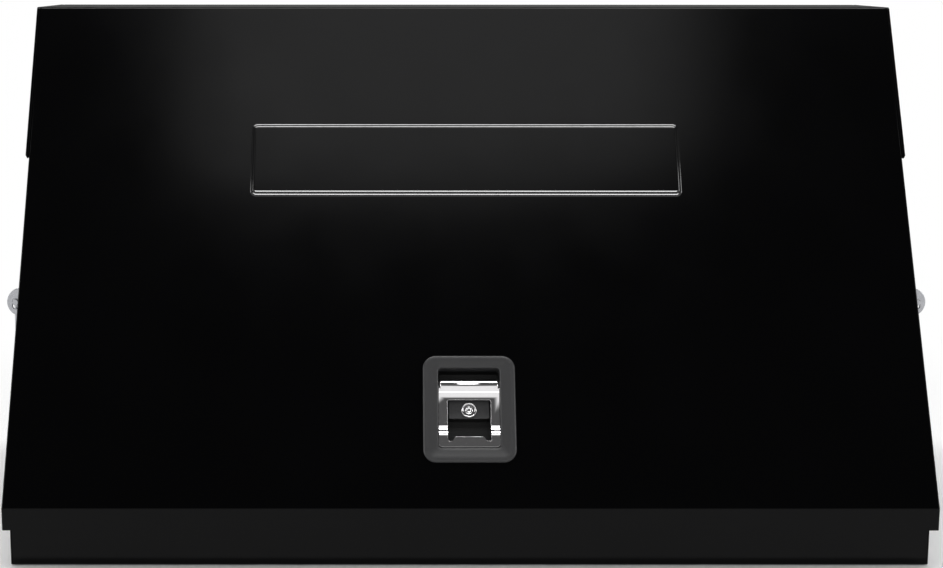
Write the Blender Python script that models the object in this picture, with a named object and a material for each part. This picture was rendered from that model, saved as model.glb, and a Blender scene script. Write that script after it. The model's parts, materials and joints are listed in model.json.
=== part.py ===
"""Portable steel toolbox with a sloped lid that hinges along its top rear edge.

Metres, +Z up, +X to the right seen from the front, +Y towards the back. The origin is the middle of
the box's outline, on the ground. Lid pieces on the slope are drawn in the slope's own frame: x across,
u up the slope from its lower fold, n outwards from the outer face.
"""

import math

import bmesh
import bpy
from mathutils import Matrix, Vector

# Driving dimensions of the outside
LID_WIDTH = 0.914
HEIGHT = 0.540
FRONT_Y = -0.2165
BACK_Y = 0.2096
FOLD_Z = 0.063
SLOPE_RUN = 0.281
LIP_HEIGHT = 0.0215
CASE_WIDTH = 0.906
CASE_FRONT_Y = FRONT_Y + 0.018

# Sheet metal
GAP = 0.0003
LID_SHEET = 0.0015
CASE_SHEET = 0.0012
LID_BEND = 0.004
CASE_BEND = 0.003
BEND_STEPS = 4
CASE_JOG = (0.4965, 0.5010)

# Lid
SKIRT_DEPTH = 0.020
LID_REAR_Z = 0.5075
CHEEK_PROUD = 0.0036
CHEEK_LOW_Z = 0.3855
CHEEK_EDGE = 0.0035
STIFFENER_X = 0.225
STIFFENER_WIDTH = 0.044
STIFFENER_DEPTH = 0.014
STIFFENER_U = (0.030, 0.505)

# Raised frame of the plain panel field on the slope
FIELD_LOW_U = 0.3307
FIELD_HIGH_U = 0.4138
FIELD_WIDTH = 0.4485
FIELD_RADIUS = 0.0063
FIELD_BEAD = 0.0045
FIELD_RISE = 0.0012

# Opening rim and seal
RIM_DEPTH = 0.017
RIM_FLANGE = 0.009
SEAL_CLEAR = 0.0004

# Rear hinge
HINGE_Y = 0.2132
HINGE_Z = 0.505
KNUCKLE_RADIUS = 0.0033
HINGE_BORE = 0.0018
HINGE_PIN = 0.0015
HINGE_LENGTH = 0.870
KNUCKLES = 15
LEAF_THICKNESS = 0.0012
LEAF_HEIGHT = 0.028

# Latch, in the slope's frame
LATCH_U = 0.1016
BEZEL_WIDTH = 0.0922
BEZEL_HEIGHT = 0.1102
BEZEL_RADIUS = 0.013
BEZEL_RISE = 0.0025
MOUTH_U = 0.1028
MOUTH_WIDTH = 0.0616
MOUTH_HEIGHT = 0.0828
MOUTH_RADIUS = 0.004
PAN_WALL = 0.002
PAN_DEPTH = 0.024
PADDLE_WIDTH = 0.0607
PADDLE_PIVOT_U = 0.1265
PADDLE_PIVOT_N = -0.0075
PADDLE_BARREL = 0.0079
PADDLE_PIN = 0.0020
PADDLE_SHEET = 0.0025
PADDLE_LOW_U = 0.0624
WINDOW_U = (0.0732, 0.1121)
WINDOW_WIDTH = 0.0430
TAIL_X = (-0.0290, -0.0222)
TAIL_N = -0.0302
TAIL_SLOT_U = (PADDLE_PIVOT_U - 0.0200, PADDLE_PIVOT_U + 0.0060)
LOCK_U = 0.1030
LOCK_FACE_N = -0.0080
LOCK_RADIUS = 0.0077
PLUG_RADIUS = 0.0060
ROCKER_U = 0.1155
ROCKER_ARM = 0.0200
ROCKER_N = (-0.0343, -0.0318)
ROCKER_STUD = 0.0030
BOLT_X = 0.0182
BOLT_WIDTH = 0.0200
BOLT_N = (-0.0290, -0.0250)
BOLT_TIP_U = 0.0100
BOLT_TOP_U = 0.1355
STUD_X = 0.0385
STUD_RISE = 0.0400
STUD_RADIUS = 0.0020
GASKET = 0.0010
CLAMP_PLATE = 0.0020
NUT_HEIGHT = 0.0028
NUT_RADIUS = 0.0041
COVER_U = (0.0440, 0.1600)
COVER_HALF = 0.0490
COVER_DEPTH = 0.0400
COVER_SHEET = 0.0010

# Gas struts: pivots at rest, as (y, z)
STRUT_X = 0.410
STRUT_CASE_PIVOT = (0.093, 0.267)
STRUT_LID_PIVOT = (0.165, 0.495)
STRUT_TUBE_RADIUS = 0.009
STRUT_TUBE_TOP = 0.205
STRUT_ROD_RADIUS = 0.004
SOCKET_RADIUS = 0.008
SOCKET_HALF = 0.006
STRUT_STUD = 0.0040

# Side handles
HANDLE_Z = 0.2413
EAR_FRONT_Y = -0.0735
EAR_REAR_Y = 0.0525
EAR_THICKNESS = 0.003
EAR_RADIUS = 0.0137
EAR_REACH = 0.0222
BAIL_X = 0.4660
BAIL_RADIUS = 0.0030
BAIL_DROP = 0.055
BAIL_BEND = 0.0045
GRIP_RADIUS = 0.0068
PLATE_THICKNESS = 0.0020
PLATE_HEIGHT = 0.034
RIVET_RADIUS = 0.0023
RIVET_HEAD = 0.0044
RIVET_SPREAD = (0.048, 0.0095)

# Worked out from the above
HALF_LID = LID_WIDTH / 2
HALF_CASE = CASE_WIDTH / 2
TOP_FRONT_Y = FRONT_Y + SLOPE_RUN
SLOPE_RISE = HEIGHT - FOLD_Z
SLOPE_ANGLE = math.atan2(SLOPE_RISE, SLOPE_RUN)
ALONG = Vector((math.cos(SLOPE_ANGLE), math.sin(SLOPE_ANGLE)))
OUTWARD = Vector((-math.sin(SLOPE_ANGLE), math.cos(SLOPE_ANGLE)))
LIP_Z = FOLD_Z - LIP_HEIGHT
UPPER_BACK_Y = BACK_Y - LID_SHEET - 0.0008
INNER_WALL_X = HALF_CASE - CASE_SHEET - GAP
EARS_MIDDLE_Y = (EAR_FRONT_Y + EAR_REAR_Y) / 2


def clear_scene():
    for old in list(bpy.data.objects):
        bpy.data.objects.remove(old, do_unlink=True)


def make_material(name, colour, roughness, metallic):
    made = bpy.data.materials.new(name)
    made.use_nodes = True
    shader = made.node_tree.nodes["Principled BSDF"]
    shader.inputs["Base Color"].default_value = (*colour, 1.0)
    shader.inputs["Roughness"].default_value = roughness
    shader.inputs["Metallic"].default_value = metallic
    made.diffuse_color = (*colour, 1.0)
    return made


def make_empty(name, location, rotation=(0, 0, 0)):
    empty = bpy.data.objects.new(name, None)
    empty.location = location
    empty.rotation_euler = rotation
    bpy.context.scene.collection.objects.link(empty)
    return empty


def add_object(name, data, material, parent=None, location=(0, 0, 0)):
    made = bpy.data.objects.new(name, data)
    made.location = location
    made.parent = parent
    if material:
        data.materials.append(material)
    bpy.context.scene.collection.objects.link(made)
    return made


def as_helper(helper):
    helper.hide_render = True
    helper.display_type = "WIRE"
    return helper


def combine(target, helper, operation):
    """A Boolean modifier on the target, with a helper that the model leaves out."""
    as_helper(helper)
    modifier = target.modifiers.new(operation.title(), "BOOLEAN")
    modifier.operation = operation
    modifier.solver = "EXACT"
    modifier.object = helper


def mesh_of(shape, name):
    bmesh.ops.recalc_face_normals(shape, faces=shape.faces[:])
    mesh = bpy.data.meshes.new(name)
    shape.to_mesh(mesh)
    shape.free()
    mesh.shade_smooth()
    mesh.set_sharp_from_angle(angle=math.radians(35))
    return mesh


def add_prism(shape, outline, low, high, axis):
    """Adds a closed prism: the outline lies across the axis, in the order of the two other axes."""

    def place(first, second, along):
        if axis == "X":
            return (along, first, second)
        if axis == "Y":
            return (first, along, second)
        return (first, second, along)

    bottom = [shape.verts.new(place(a, b, low)) for a, b in outline]
    top = [shape.verts.new(place(a, b, high)) for a, b in outline]
    shape.faces.new(bottom)
    shape.faces.new(top)
    count = len(outline)
    for i in range(count):
        j = (i + 1) % count
        shape.faces.new((bottom[i], bottom[j], top[j], top[i]))


def prism(name, outline, low, high, axis, material=None, parent=None):
    shape = bmesh.new()
    add_prism(shape, outline, low, high, axis)
    return add_object(name, mesh_of(shape, name), material, parent)


def box_outline(low_a, high_a, low_b, high_b):
    return [(low_a, low_b), (high_a, low_b), (high_a, high_b), (low_a, high_b)]


def block(name, x, y, z, material=None, parent=None):
    """A box between the low and high of each axis."""
    return prism(name, box_outline(x[0], x[1], y[0], y[1]), z[0], z[1], "Z", material, parent)


def arc(centre, radius, start, end, steps):
    return [
        (
            centre[0] + radius * math.cos(math.radians(start + (end - start) * i / steps)),
            centre[1] + radius * math.sin(math.radians(start + (end - start) * i / steps)),
        )
        for i in range(steps + 1)
    ]


def rounded_rectangle(centre, width, height, radius, steps=4):
    points = []
    for corner, (sign_a, sign_b) in enumerate(((1, 1), (-1, 1), (-1, -1), (1, -1))):
        middle = (centre[0] + sign_a * (width / 2 - radius), centre[1] + sign_b * (height / 2 - radius))
        points += arc(middle, radius, corner * 90, corner * 90 + 90, steps)
    return points


def sheet_outline(face, thickness, radius, side):
    """The section of a bent sheet. Its outer face follows the points, its body lies to the left for a
    side of 1 and to the right for -1, and each bend has the given radius on its wider face."""
    outer = []
    inner = []
    last = len(face) - 1
    for i, point in enumerate(face):
        here = Vector(point)
        before = (here - Vector(face[i - 1])).normalized() if i else None
        after = (Vector(face[i + 1]) - here).normalized() if i < last else None
        if before is None or after is None:
            along = after or before
            outer.append(here)
            inner.append(here + Vector((-along.y, along.x)) * side * thickness)
            continue
        turn = before.cross(after)
        inward = Vector((-before.y, before.x)) * side
        closes = 1 if turn * side > 0 else -1
        face_radius = radius if closes > 0 else radius - thickness
        angle = before.angle(after)
        start = here - before * face_radius * math.tan(angle / 2)
        centre = start + inward * closes * face_radius
        for step in range(BEND_STEPS + 1):
            swing = Matrix.Rotation(math.copysign(angle * step / BEND_STEPS, turn), 2)
            radial = swing @ (inward * -closes)
            outer.append(centre + radial * face_radius)
            inner.append(centre + radial * (face_radius - closes * thickness))
    return [tuple(p) for p in outer + inner[::-1]]


def turned_shape(shape, profile, steps, place, closed=False):
    """Adds a solid of revolution. The profile holds (radius, height) pairs, and an open one starts and
    ends on its axis. The place matrix sets its axis, which is Z before it."""
    rings = []
    for radius, height in profile:
        count = steps if radius > 0 else 1
        ring = []
        for i in range(count):
            angle = math.tau * i / steps
            at = Vector((radius * math.cos(angle), radius * math.sin(angle), height))
            ring.append(shape.verts.new(place @ at))
        rings.append(ring)
    pairs = list(zip(rings, rings[1:]))
    if closed:
        pairs.append((rings[-1], rings[0]))
    for low, high in pairs:
        for i in range(steps):
            j = (i + 1) % steps
            corners = (low[i % len(low)], low[j % len(low)], high[j % len(high)], high[i % len(high)])
            shape.faces.new(list(dict.fromkeys(corners)))


def turned(name, profile, steps, place, material=None, parent=None, closed=False):
    shape = bmesh.new()
    turned_shape(shape, profile, steps, place, closed)
    return add_object(name, mesh_of(shape, name), material, parent)


def across(x, y=0.0, z=0.0):
    """A matrix that lays a turned shape's axis along +X, starting at the point."""
    return Matrix.Translation((x, y, z)) @ Matrix.Rotation(math.radians(90), 4, "Y")


def rod(low, high, radius):
    return [(0, low), (radius, low), (radius, high), (0, high)]


def ring_profile(low, high, inner, outer):
    return [(inner, low), (outer, low), (outer, high), (inner, high)]


def bent_path(points, radius, steps):
    """A 3-D line whose corners are arcs of the radius."""
    path = [Vector(points[0])]
    for before, corner, after in zip(points, points[1:], points[2:]):
        corner = Vector(corner)
        back = (Vector(before) - corner).normalized()
        ahead = (Vector(after) - corner).normalized()
        half = back.angle(ahead) / 2
        reach = radius / math.tan(half)
        centre = corner + (back + ahead).normalized() * radius / math.sin(half)
        start = corner + back * reach - centre
        axis, angle = start.rotation_difference(corner + ahead * reach - centre).to_axis_angle()
        path += [centre + Matrix.Rotation(angle * i / steps, 3, axis) @ start for i in range(steps + 1)]
    path.append(Vector(points[-1]))
    return path


def wire(name, path, radius, material, parent=None, resolution=2):
    """A round wire along the path, with capped ends."""
    data = bpy.data.curves.new(name, "CURVE")
    data.dimensions = "3D"
    data.bevel_depth = radius
    data.bevel_resolution = resolution
    data.use_fill_caps = True
    spline = data.splines.new("POLY")
    spline.points.add(len(path) - 1)
    for point, at in zip(spline.points, path):
        point.co = (*at, 1.0)
    return add_object(name, data, material, parent)


def slope_point(u, n):
    """(y, z) of a point in the slope's frame."""
    return Vector((FRONT_Y, FOLD_Z)) + ALONG * u + OUTWARD * n


def slope_line(n, y=None, z=None):
    """Where the line at depth n under the slope meets a given y or z."""
    start = slope_point(0, n)
    if y is not None:
        u = (y - start.x) / ALONG.x
    else:
        u = (z - start.y) / ALONG.y
    return tuple(slope_point(u, n))


# Case


def make_case_wrap(steel):
    """Front wall, floor and back wall of one bent sheet, with a flange along the front and rear rim."""
    rim_corner = slope_line(-RIM_DEPTH, y=CASE_FRONT_Y)
    flange_tip = tuple(Vector(rim_corner) + ALONG * RIM_FLANGE)
    rear_rim_z = HEIGHT - RIM_DEPTH
    face = [
        flange_tip,
        rim_corner,
        (CASE_FRONT_Y, 0),
        (BACK_Y, 0),
        (BACK_Y, CASE_JOG[0]),
        (UPPER_BACK_Y, CASE_JOG[1]),
        (UPPER_BACK_Y, rear_rim_z),
        (UPPER_BACK_Y - RIM_FLANGE, rear_rim_z),
    ]
    outline = sheet_outline(face, CASE_SHEET, CASE_BEND, 1)
    prism("case_wrap", outline, -INNER_WALL_X, INNER_WALL_X, "X", steel)


def make_side_panel(side, label, steel):
    """Side wall with the rim's flange along its sloped and top edges."""
    edge_depth = RIM_DEPTH + GAP
    edge_z = HEIGHT - edge_depth
    low_front = arc((CASE_FRONT_Y + CASE_BEND, CASE_BEND), CASE_BEND, 180, 270, 3)
    low_rear = arc((BACK_Y - CASE_BEND, CASE_BEND), CASE_BEND, 270, 360, 3)
    outline = low_front + low_rear
    outline += [(BACK_Y, CASE_JOG[0]), (UPPER_BACK_Y, CASE_JOG[1]), (UPPER_BACK_Y, edge_z)]
    outline += [slope_line(-edge_depth, z=edge_z), slope_line(-edge_depth, y=CASE_FRONT_Y)]
    x_outer = side * HALF_CASE
    x_inner = side * (HALF_CASE - CASE_SHEET)
    panel = prism(f"side_panel_{label}", outline, x_inner, x_outer, "X", steel)

    rim_z = HEIGHT - RIM_DEPTH
    lift = RIM_FLANGE + CASE_SHEET + GAP
    start = Vector(slope_line(-RIM_DEPTH, y=CASE_FRONT_Y)) + ALONG * lift
    rear_end = UPPER_BACK_Y - RIM_FLANGE - GAP
    flange = [
        tuple(start),
        slope_line(-RIM_DEPTH, z=rim_z),
        (rear_end, rim_z),
        (rear_end, rim_z - CASE_SHEET),
        slope_line(-RIM_DEPTH - CASE_SHEET, z=rim_z - CASE_SHEET),
        tuple(start - OUTWARD * CASE_SHEET),
    ]
    x_flange = side * (HALF_CASE - RIM_FLANGE)
    helper = prism(f"side_flange_{label}", flange, x_flange, side * (HALF_CASE - 0.0004), "X")
    combine(panel, helper, "UNION")


def make_rim_seal(rubber):
    """Bulb seal round the opening, standing on the rim's flanges."""
    low = RIM_DEPTH - GAP
    high = LID_SHEET + SEAL_CLEAR
    width = RIM_FLANGE - 0.0015
    foot = Vector(slope_line(-low, y=CASE_FRONT_Y + 0.0012))
    rear_y = BACK_Y - LID_SHEET - 0.0018
    crown = HEIGHT - high
    face = [tuple(foot + OUTWARD * (low - high)), slope_line(-high, z=crown), (rear_y, crown)]
    band = sheet_outline(face, low - high, 0.0165, -1)
    x_outer = HALF_CASE - 0.0008
    seal = prism("rim_seal", band, x_outer - width, x_outer, "X", rubber)

    inset = 0.0002
    start = foot + (ALONG + OUTWARD) * inset
    tall = low - high - 2 * inset
    run = [start, start + ALONG * width, start + ALONG * width + OUTWARD * tall, start + OUTWARD * tall]
    reach = x_outer - inset
    combine(seal, prism("rim_seal_front_run", [tuple(p) for p in run], -reach, reach, "X"), "UNION")
    rear_box = box_outline(rear_y - width, rear_y - inset, HEIGHT - low + inset, HEIGHT - high - inset)
    combine(seal, prism("rim_seal_rear_run", rear_box, -reach, reach, "X"), "UNION")
    left = prism("rim_seal_left_run", band, -x_outer, width - x_outer, "X")
    combine(seal, left, "UNION")


def make_striker(zinc):
    """Keeper for the latch bolt: a leg on the front wall and a lip parallel to the slope."""
    wall = CASE_FRONT_Y + CASE_SHEET + GAP
    foot_z = 0.010
    plate = 0.0025
    half_width = 0.045
    lip_low = BOLT_N[1] + 0.0004
    lip_high = lip_low + plate
    tip = BOLT_TIP_U + 0.009
    outline = [
        (wall, foot_z),
        (wall + plate, foot_z),
        slope_line(lip_low, y=wall + plate),
        tuple(slope_point(tip, lip_low)),
        tuple(slope_point(tip, lip_high)),
        slope_line(lip_high, y=wall),
    ]
    prism("latch_striker", outline, -half_width, half_width, "X", zinc)


# Rear hinge


def make_hinge_leaf(name, up, first, material):
    """A leaf that rises from the axis for up = 1, or hangs for -1, with every second knuckle."""
    face_y = HINGE_Y - KNUCKLE_RADIUS
    clear = KNUCKLE_RADIUS + 0.0005
    low_z, high_z = sorted((HINGE_Z + up * clear, HINGE_Z + up * (clear + LEAF_HEIGHT)))
    plate = box_outline(face_y, face_y + LEAF_THICKNESS, low_z, high_z)
    half = HINGE_LENGTH / 2
    leaf = prism(name, plate, -half, half, "X", material)

    root_z = HINGE_Z + up * (clear + 0.002)
    roll = arc((HINGE_Y, HINGE_Z), KNUCKLE_RADIUS, 180, 180 + 230 * up, 10)
    outline = [(face_y, root_z)] + roll + [(face_y + LEAF_THICKNESS, root_z)]
    pitch = HINGE_LENGTH / KNUCKLES
    end_play = 0.0004
    shape = bmesh.new()
    for index in range(first, KNUCKLES, 2):
        low = -half + index * pitch + end_play
        high = low + pitch - 2 * end_play
        add_prism(shape, outline, low, high, "X")
    rolls = add_object(f"{name}_knuckles", mesh_of(shape, f"{name}_knuckles"), None)
    combine(leaf, rolls, "UNION")
    bore = turned(f"{name}_bore", rod(-0.5, 0.5, HINGE_BORE), 12, across(0, HINGE_Y, HINGE_Z))
    combine(leaf, bore, "DIFFERENCE")


def make_hinge(zinc, steel):
    make_hinge_leaf("hinge_leaf_case", -1, 0, steel)
    make_hinge_leaf("hinge_leaf_lid", 1, 1, steel)
    half = HINGE_LENGTH / 2
    turned("hinge_pin", rod(-half, half, HINGE_PIN), 12, across(0, HINGE_Y, HINGE_Z), zinc)


# Lid


def make_lid_panel(steel):
    """Lip, slope, top and rear flange of one sheet, with side skirts, the latch's cut-out and the
    raised frame of the plain field."""
    face = [
        (FRONT_Y, LIP_Z),
        (FRONT_Y, FOLD_Z),
        (TOP_FRONT_Y, HEIGHT),
        (BACK_Y, HEIGHT),
        (BACK_Y, LID_REAR_Z),
    ]
    outline = sheet_outline(face, LID_SHEET, LID_BEND, -1)
    lid = prism("lid_panel", outline, -HALF_LID, HALF_LID, "X", steel)
    core_face = [(FRONT_Y, LIP_Z + GAP)] + face[1:-1] + [(BACK_Y, LID_REAR_Z + GAP)]
    core = sheet_outline(core_face, LID_SHEET / 2, LID_BEND, -1)
    core_run = core[len(core) // 2 :][::-1]
    inner_corner = slope_line(-SKIRT_DEPTH, z=LID_REAR_Z + GAP)
    skirt = core_run + [inner_corner, slope_line(-SKIRT_DEPTH, z=LIP_Z + GAP)]
    for side in (-1, 1):
        x_low, x_high = sorted((side * (HALF_LID - 0.0001), side * (HALF_LID - LID_SHEET)))
        helper = prism(f"lid_skirt_{side}", skirt, x_low, x_high, "X")
        combine(lid, helper, "UNION")
    return lid


def cut_lid(lid, slope):
    """The latch's cut-out, its stud holes and the field's frame."""
    cut_latch_holes(lid, "lid", slope)
    middle = (0, (FIELD_LOW_U + FIELD_HIGH_U) / 2)
    tall = FIELD_HIGH_U - FIELD_LOW_U
    outer = rounded_rectangle(middle, FIELD_WIDTH, tall, FIELD_RADIUS)
    inner_radius = FIELD_RADIUS - FIELD_BEAD + 0.001
    inner = rounded_rectangle(middle, FIELD_WIDTH - 2 * FIELD_BEAD, tall - 2 * FIELD_BEAD, inner_radius)
    bead = prism("field_frame", outer, -0.0007, FIELD_RISE, "Z", None, slope)
    void = prism("field_frame_inside", inner, -0.002, 0.004, "Z", None, slope)
    combine(bead, void, "DIFFERENCE")
    combine(lid, bead, "UNION")


def make_cheek(side, label, steel):
    """Gusset plate over the lid's upper side, with its lower edge bent in."""
    low_front = slope_line(0, z=CHEEK_LOW_Z)
    bend = arc((BACK_Y - LID_BEND, HEIGHT - LID_BEND), LID_BEND, 90, 0, 3)
    turn_in = math.degrees(SLOPE_ANGLE) + 90
    top = arc(top_bend_centre(), LID_BEND, turn_in, 90, 3)
    outline = [low_front] + top + bend + [(BACK_Y, CHEEK_LOW_Z)]
    x_low = side * (HALF_LID + GAP)
    x_high = side * (HALF_LID + CHEEK_PROUD)
    cheek = prism(f"lid_cheek_{label}", outline, x_low, x_high, "X", steel)
    wedge = [
        (x_high + side * 0.001, CHEEK_LOW_Z - 0.001),
        (x_high + side * 0.001, CHEEK_LOW_Z + CHEEK_EDGE + 0.001),
        (x_low + side * 0.0006, CHEEK_LOW_Z - 0.001),
    ]
    cutter = prism(f"cheek_edge_{label}", wedge, -0.2, 0.3, "Y")
    combine(cheek, cutter, "DIFFERENCE")


def top_bend_centre():
    """Centre of the bend between the slope and the top."""
    half = SLOPE_ANGLE / 2
    reach = LID_BEND * math.tan(half)
    return (TOP_FRONT_Y + reach, HEIGHT - LID_BEND)


def make_stiffener(side, label, steel, slope):
    """Hat-section rib under the slope."""
    half = STIFFENER_WIDTH / 2
    crown = half - 0.010
    top = -LID_SHEET - GAP
    deep = top - STIFFENER_DEPTH
    x = side * STIFFENER_X
    points = [
        (x - half, top),
        (x - crown, top),
        (x - crown + 0.003, deep),
        (x + crown - 0.003, deep),
        (x + crown, top),
        (x + half, top),
    ]
    outline = sheet_outline(points, CASE_SHEET, 0.0020, -1)
    prism(f"lid_stiffener_{label}", outline, STIFFENER_U[0], STIFFENER_U[1], "Y", steel, slope)


# Latch


def stud_places():
    return [(x, LATCH_U + v) for x in (-STUD_X, STUD_X) for v in (-STUD_RISE, STUD_RISE)]


def pan_outline(grow):
    """The pan's outside, grown by a clearance."""
    wide = MOUTH_WIDTH + 2 * (PAN_WALL + grow)
    tall = MOUTH_HEIGHT + 2 * (PAN_WALL + grow)
    return rounded_rectangle((0, MOUTH_U), wide, tall, MOUTH_RADIUS + PAN_WALL + grow)


def stud_pins(name, low, high, radius, slope):
    """Four pins at the studs' places, joined as one helper."""
    shape = bmesh.new()
    for x, u in stud_places():
        turned_shape(shape, rod(low, high, radius), 10, Matrix.Translation((x, u, 0)))
    return add_object(name, mesh_of(shape, name), None, slope)


def cut_latch_holes(target, label, slope):
    """The pan's opening and the four stud holes through a sheet or frame."""
    opening = prism(f"{label}_latch_opening", pan_outline(0.0005), -0.02, 0.01, "Z", None, slope)
    combine(target, opening, "DIFFERENCE")
    holes = stud_pins(f"{label}_stud_holes", -0.02, 0.01, STUD_RADIUS + 0.0005, slope)
    combine(target, holes, "DIFFERENCE")


def make_latch_dish(finish, slope):
    """Bezel and recessed pan, with a step that carries the lock and four studs behind the bezel."""
    bezel = rounded_rectangle((0, LATCH_U), BEZEL_WIDTH, BEZEL_HEIGHT, BEZEL_RADIUS, 6)
    dish = prism("latch_dish", bezel, GAP, BEZEL_RISE, "Z", finish, slope)
    combine(dish, prism("latch_pan", pan_outline(0), -PAN_DEPTH, 0.001, "Z", None, slope), "UNION")
    mouth = rounded_rectangle((0, MOUTH_U), MOUTH_WIDTH, MOUTH_HEIGHT, MOUTH_RADIUS)
    combine(dish, prism("latch_mouth", mouth, PAN_WALL - PAN_DEPTH, 0.004, "Z", None, slope), "DIFFERENCE")
    step_u = (LOCK_U - LOCK_RADIUS - 0.001, WINDOW_U[1] + 0.003)
    step_n = (-PAN_DEPTH + 0.001, LOCK_FACE_N - 0.0015)
    combine(dish, block("latch_lock_step", (-0.0215, 0.0215), step_u, step_n, None, slope), "UNION")
    combine(dish, stud_pins("latch_studs", -0.009, 0.001, STUD_RADIUS, slope), "UNION")
    bore = turned("latch_lock_bore", rod(-0.030, 0, LOCK_RADIUS + GAP), 16, lock_place(), None, slope)
    combine(dish, bore, "DIFFERENCE")
    slot_x = (TAIL_X[0] - 0.0006, TAIL_X[1] + 0.0006)
    slot = block("latch_tail_slot", slot_x, TAIL_SLOT_U, (-0.030, -0.020), None, slope)
    combine(dish, slot, "DIFFERENCE")
    reach = MOUTH_WIDTH / 2 + PAN_WALL + 0.001
    pin = turned("latch_pin_bore", rod(-reach, reach, PADDLE_PIN), 10, paddle_place(), None, slope)
    combine(dish, pin, "DIFFERENCE")


def lock_place():
    return Matrix.Translation((0, LOCK_U, 0))


def paddle_place():
    return across(0, PADDLE_PIVOT_U, PADDLE_PIVOT_N)


def make_latch_gasket(rubber, slope):
    """Thin seal behind the clamp frame's place, round the pan under the lid."""
    top = -LID_SHEET - GAP
    gasket = prism("latch_gasket", clamp_outline(), top - GASKET, top, "Z", rubber, slope)
    cut_latch_holes(gasket, "gasket", slope)


def make_clamp_frame(zinc, slope):
    """Steel frame that the nuts pull against the lid's inner face."""
    top = -LID_SHEET - 2 * GAP - GASKET
    frame = prism("latch_clamp_frame", clamp_outline(), top - CLAMP_PLATE, top, "Z", zinc, slope)
    cut_latch_holes(frame, "clamp", slope)


def clamp_outline():
    inset = 0.001
    wide = BEZEL_WIDTH - 2 * inset
    return rounded_rectangle((0, LATCH_U), wide, BEZEL_HEIGHT - 2 * inset, BEZEL_RADIUS - inset)


def make_latch_nuts(zinc, slope):
    top = -LID_SHEET - 3 * GAP - GASKET - CLAMP_PLATE
    nut = ring_profile(top - NUT_HEIGHT, top, STUD_RADIUS + GAP, NUT_RADIUS)
    shape = bmesh.new()
    turned_shape(shape, nut, 6, Matrix(), closed=True)
    mesh = mesh_of(shape, "latch_nut")
    mesh.materials.append(zinc)
    for index, (x, u) in enumerate(stud_places(), 1):
        add_object(f"latch_nut_{index}", mesh, None, slope, (x, u, 0))


def make_paddle(chrome, slope):
    """Flip lever: a barrel on the pin, two legs with an S-bend, a lower rail and a tail behind."""
    pivot = make_empty("paddle_pivot", (0, PADDLE_PIVOT_U, PADDLE_PIVOT_N))
    pivot.parent = slope
    low_u = PADDLE_LOW_U - PADDLE_PIVOT_U
    upper = 0.0040
    lower = 0.0080
    face = [
        (low_u, lower - 0.0055),
        (low_u, lower),
        (low_u + 0.0110, lower),
        (low_u + 0.0225, upper),
        (-0.002, upper),
    ]
    plate = sheet_outline(face, PADDLE_SHEET, 0.0040, -1)
    half = PADDLE_WIDTH / 2
    paddle = prism("latch_paddle", plate, -half, half, "X", chrome, pivot)
    corners = rounded_rectangle((0, (low_u + 0.010) / 2), PADDLE_WIDTH, 0.010 - low_u, MOUTH_RADIUS)
    combine(paddle, prism("paddle_corners", corners, -0.02, 0.02, "Z", None, pivot), "INTERSECT")
    barrel = turned("paddle_barrel", rod(-half, half, PADDLE_BARREL), 24, across(0), None, pivot)
    combine(paddle, barrel, "UNION")
    middle = (0, sum(WINDOW_U) / 2 - PADDLE_PIVOT_U)
    window = rounded_rectangle(middle, WINDOW_WIDTH, WINDOW_U[1] - WINDOW_U[0], 0.002, 2)
    combine(paddle, prism("paddle_window", window, -0.012, 0.020, "Z", None, pivot), "DIFFERENCE")
    tail_n = (TAIL_N - PADDLE_PIVOT_N, -0.003)
    combine(paddle, block("paddle_tail", TAIL_X, (-0.0035, 0.0035), tail_n, None, pivot), "UNION")
    bore = turned("paddle_bore", rod(-0.04, 0.04, PADDLE_PIN + GAP), 12, across(0), None, pivot)
    combine(paddle, bore, "DIFFERENCE")
    coil_room = turned("paddle_spring_room", rod(-0.0075, 0.0075, 0.0043), 16, across(0), None, pivot)
    combine(paddle, coil_room, "DIFFERENCE")
    leg_room = block("paddle_leg_room", (0.0040, 0.0068), (0.0016, 0.0090), (-0.0090, 0.0004), None, pivot)
    combine(paddle, leg_room, "DIFFERENCE")


def make_paddle_pin(zinc, slope):
    half = MOUTH_WIDTH / 2 + PAN_WALL - 0.0002
    turned("paddle_pin", rod(-half, half, PADDLE_PIN - 0.0001), 12, paddle_place(), zinc, slope)


def make_paddle_spring(steel, slope):
    """Torsion spring round the pin, with one leg that bears on the pan's floor."""
    turns = 6
    radius = 0.0031
    pitch = 0.0018
    steps = 10
    start = -turns * pitch / 2
    path = []
    for i in range(turns * steps + 1):
        angle = math.tau * i / steps
        u = PADDLE_PIVOT_U + radius * math.cos(angle)
        path.append((start + pitch * i / steps, u, PADDLE_PIVOT_N + radius * math.sin(angle)))
    path.append((path[-1][0], PADDLE_PIVOT_U + radius, PADDLE_PIVOT_N - 0.013))
    wire("paddle_spring", path, 0.0006, steel, slope, 1)


def make_lock(chrome, zinc, slope):
    """Cam lock: a housing ring in the pan's step, the plug that the key turns, and its cam behind."""
    housing = ring_profile(-0.0255, LOCK_FACE_N, PLUG_RADIUS + GAP, LOCK_RADIUS)
    turned("lock_housing", housing, 24, lock_place(), chrome, slope, closed=True)
    pivot = make_empty("lock_pivot", (0, LOCK_U, 0))
    pivot.parent = slope
    plug = turned("lock_plug", rod(-0.0262, LOCK_FACE_N - GAP, PLUG_RADIUS), 24, Matrix(), chrome, pivot)
    keyway = block("lock_keyway", (-0.0009, 0.0009), (-0.0042, 0.0042), (-0.0120, 0), None, pivot)
    combine(plug, keyway, "DIFFERENCE")
    cam = rounded_rectangle((0, -0.0030), 0.009, 0.0160, 0.0040)
    prism("lock_cam", cam, -0.0290, -0.0265, "Z", zinc, pivot)


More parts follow.
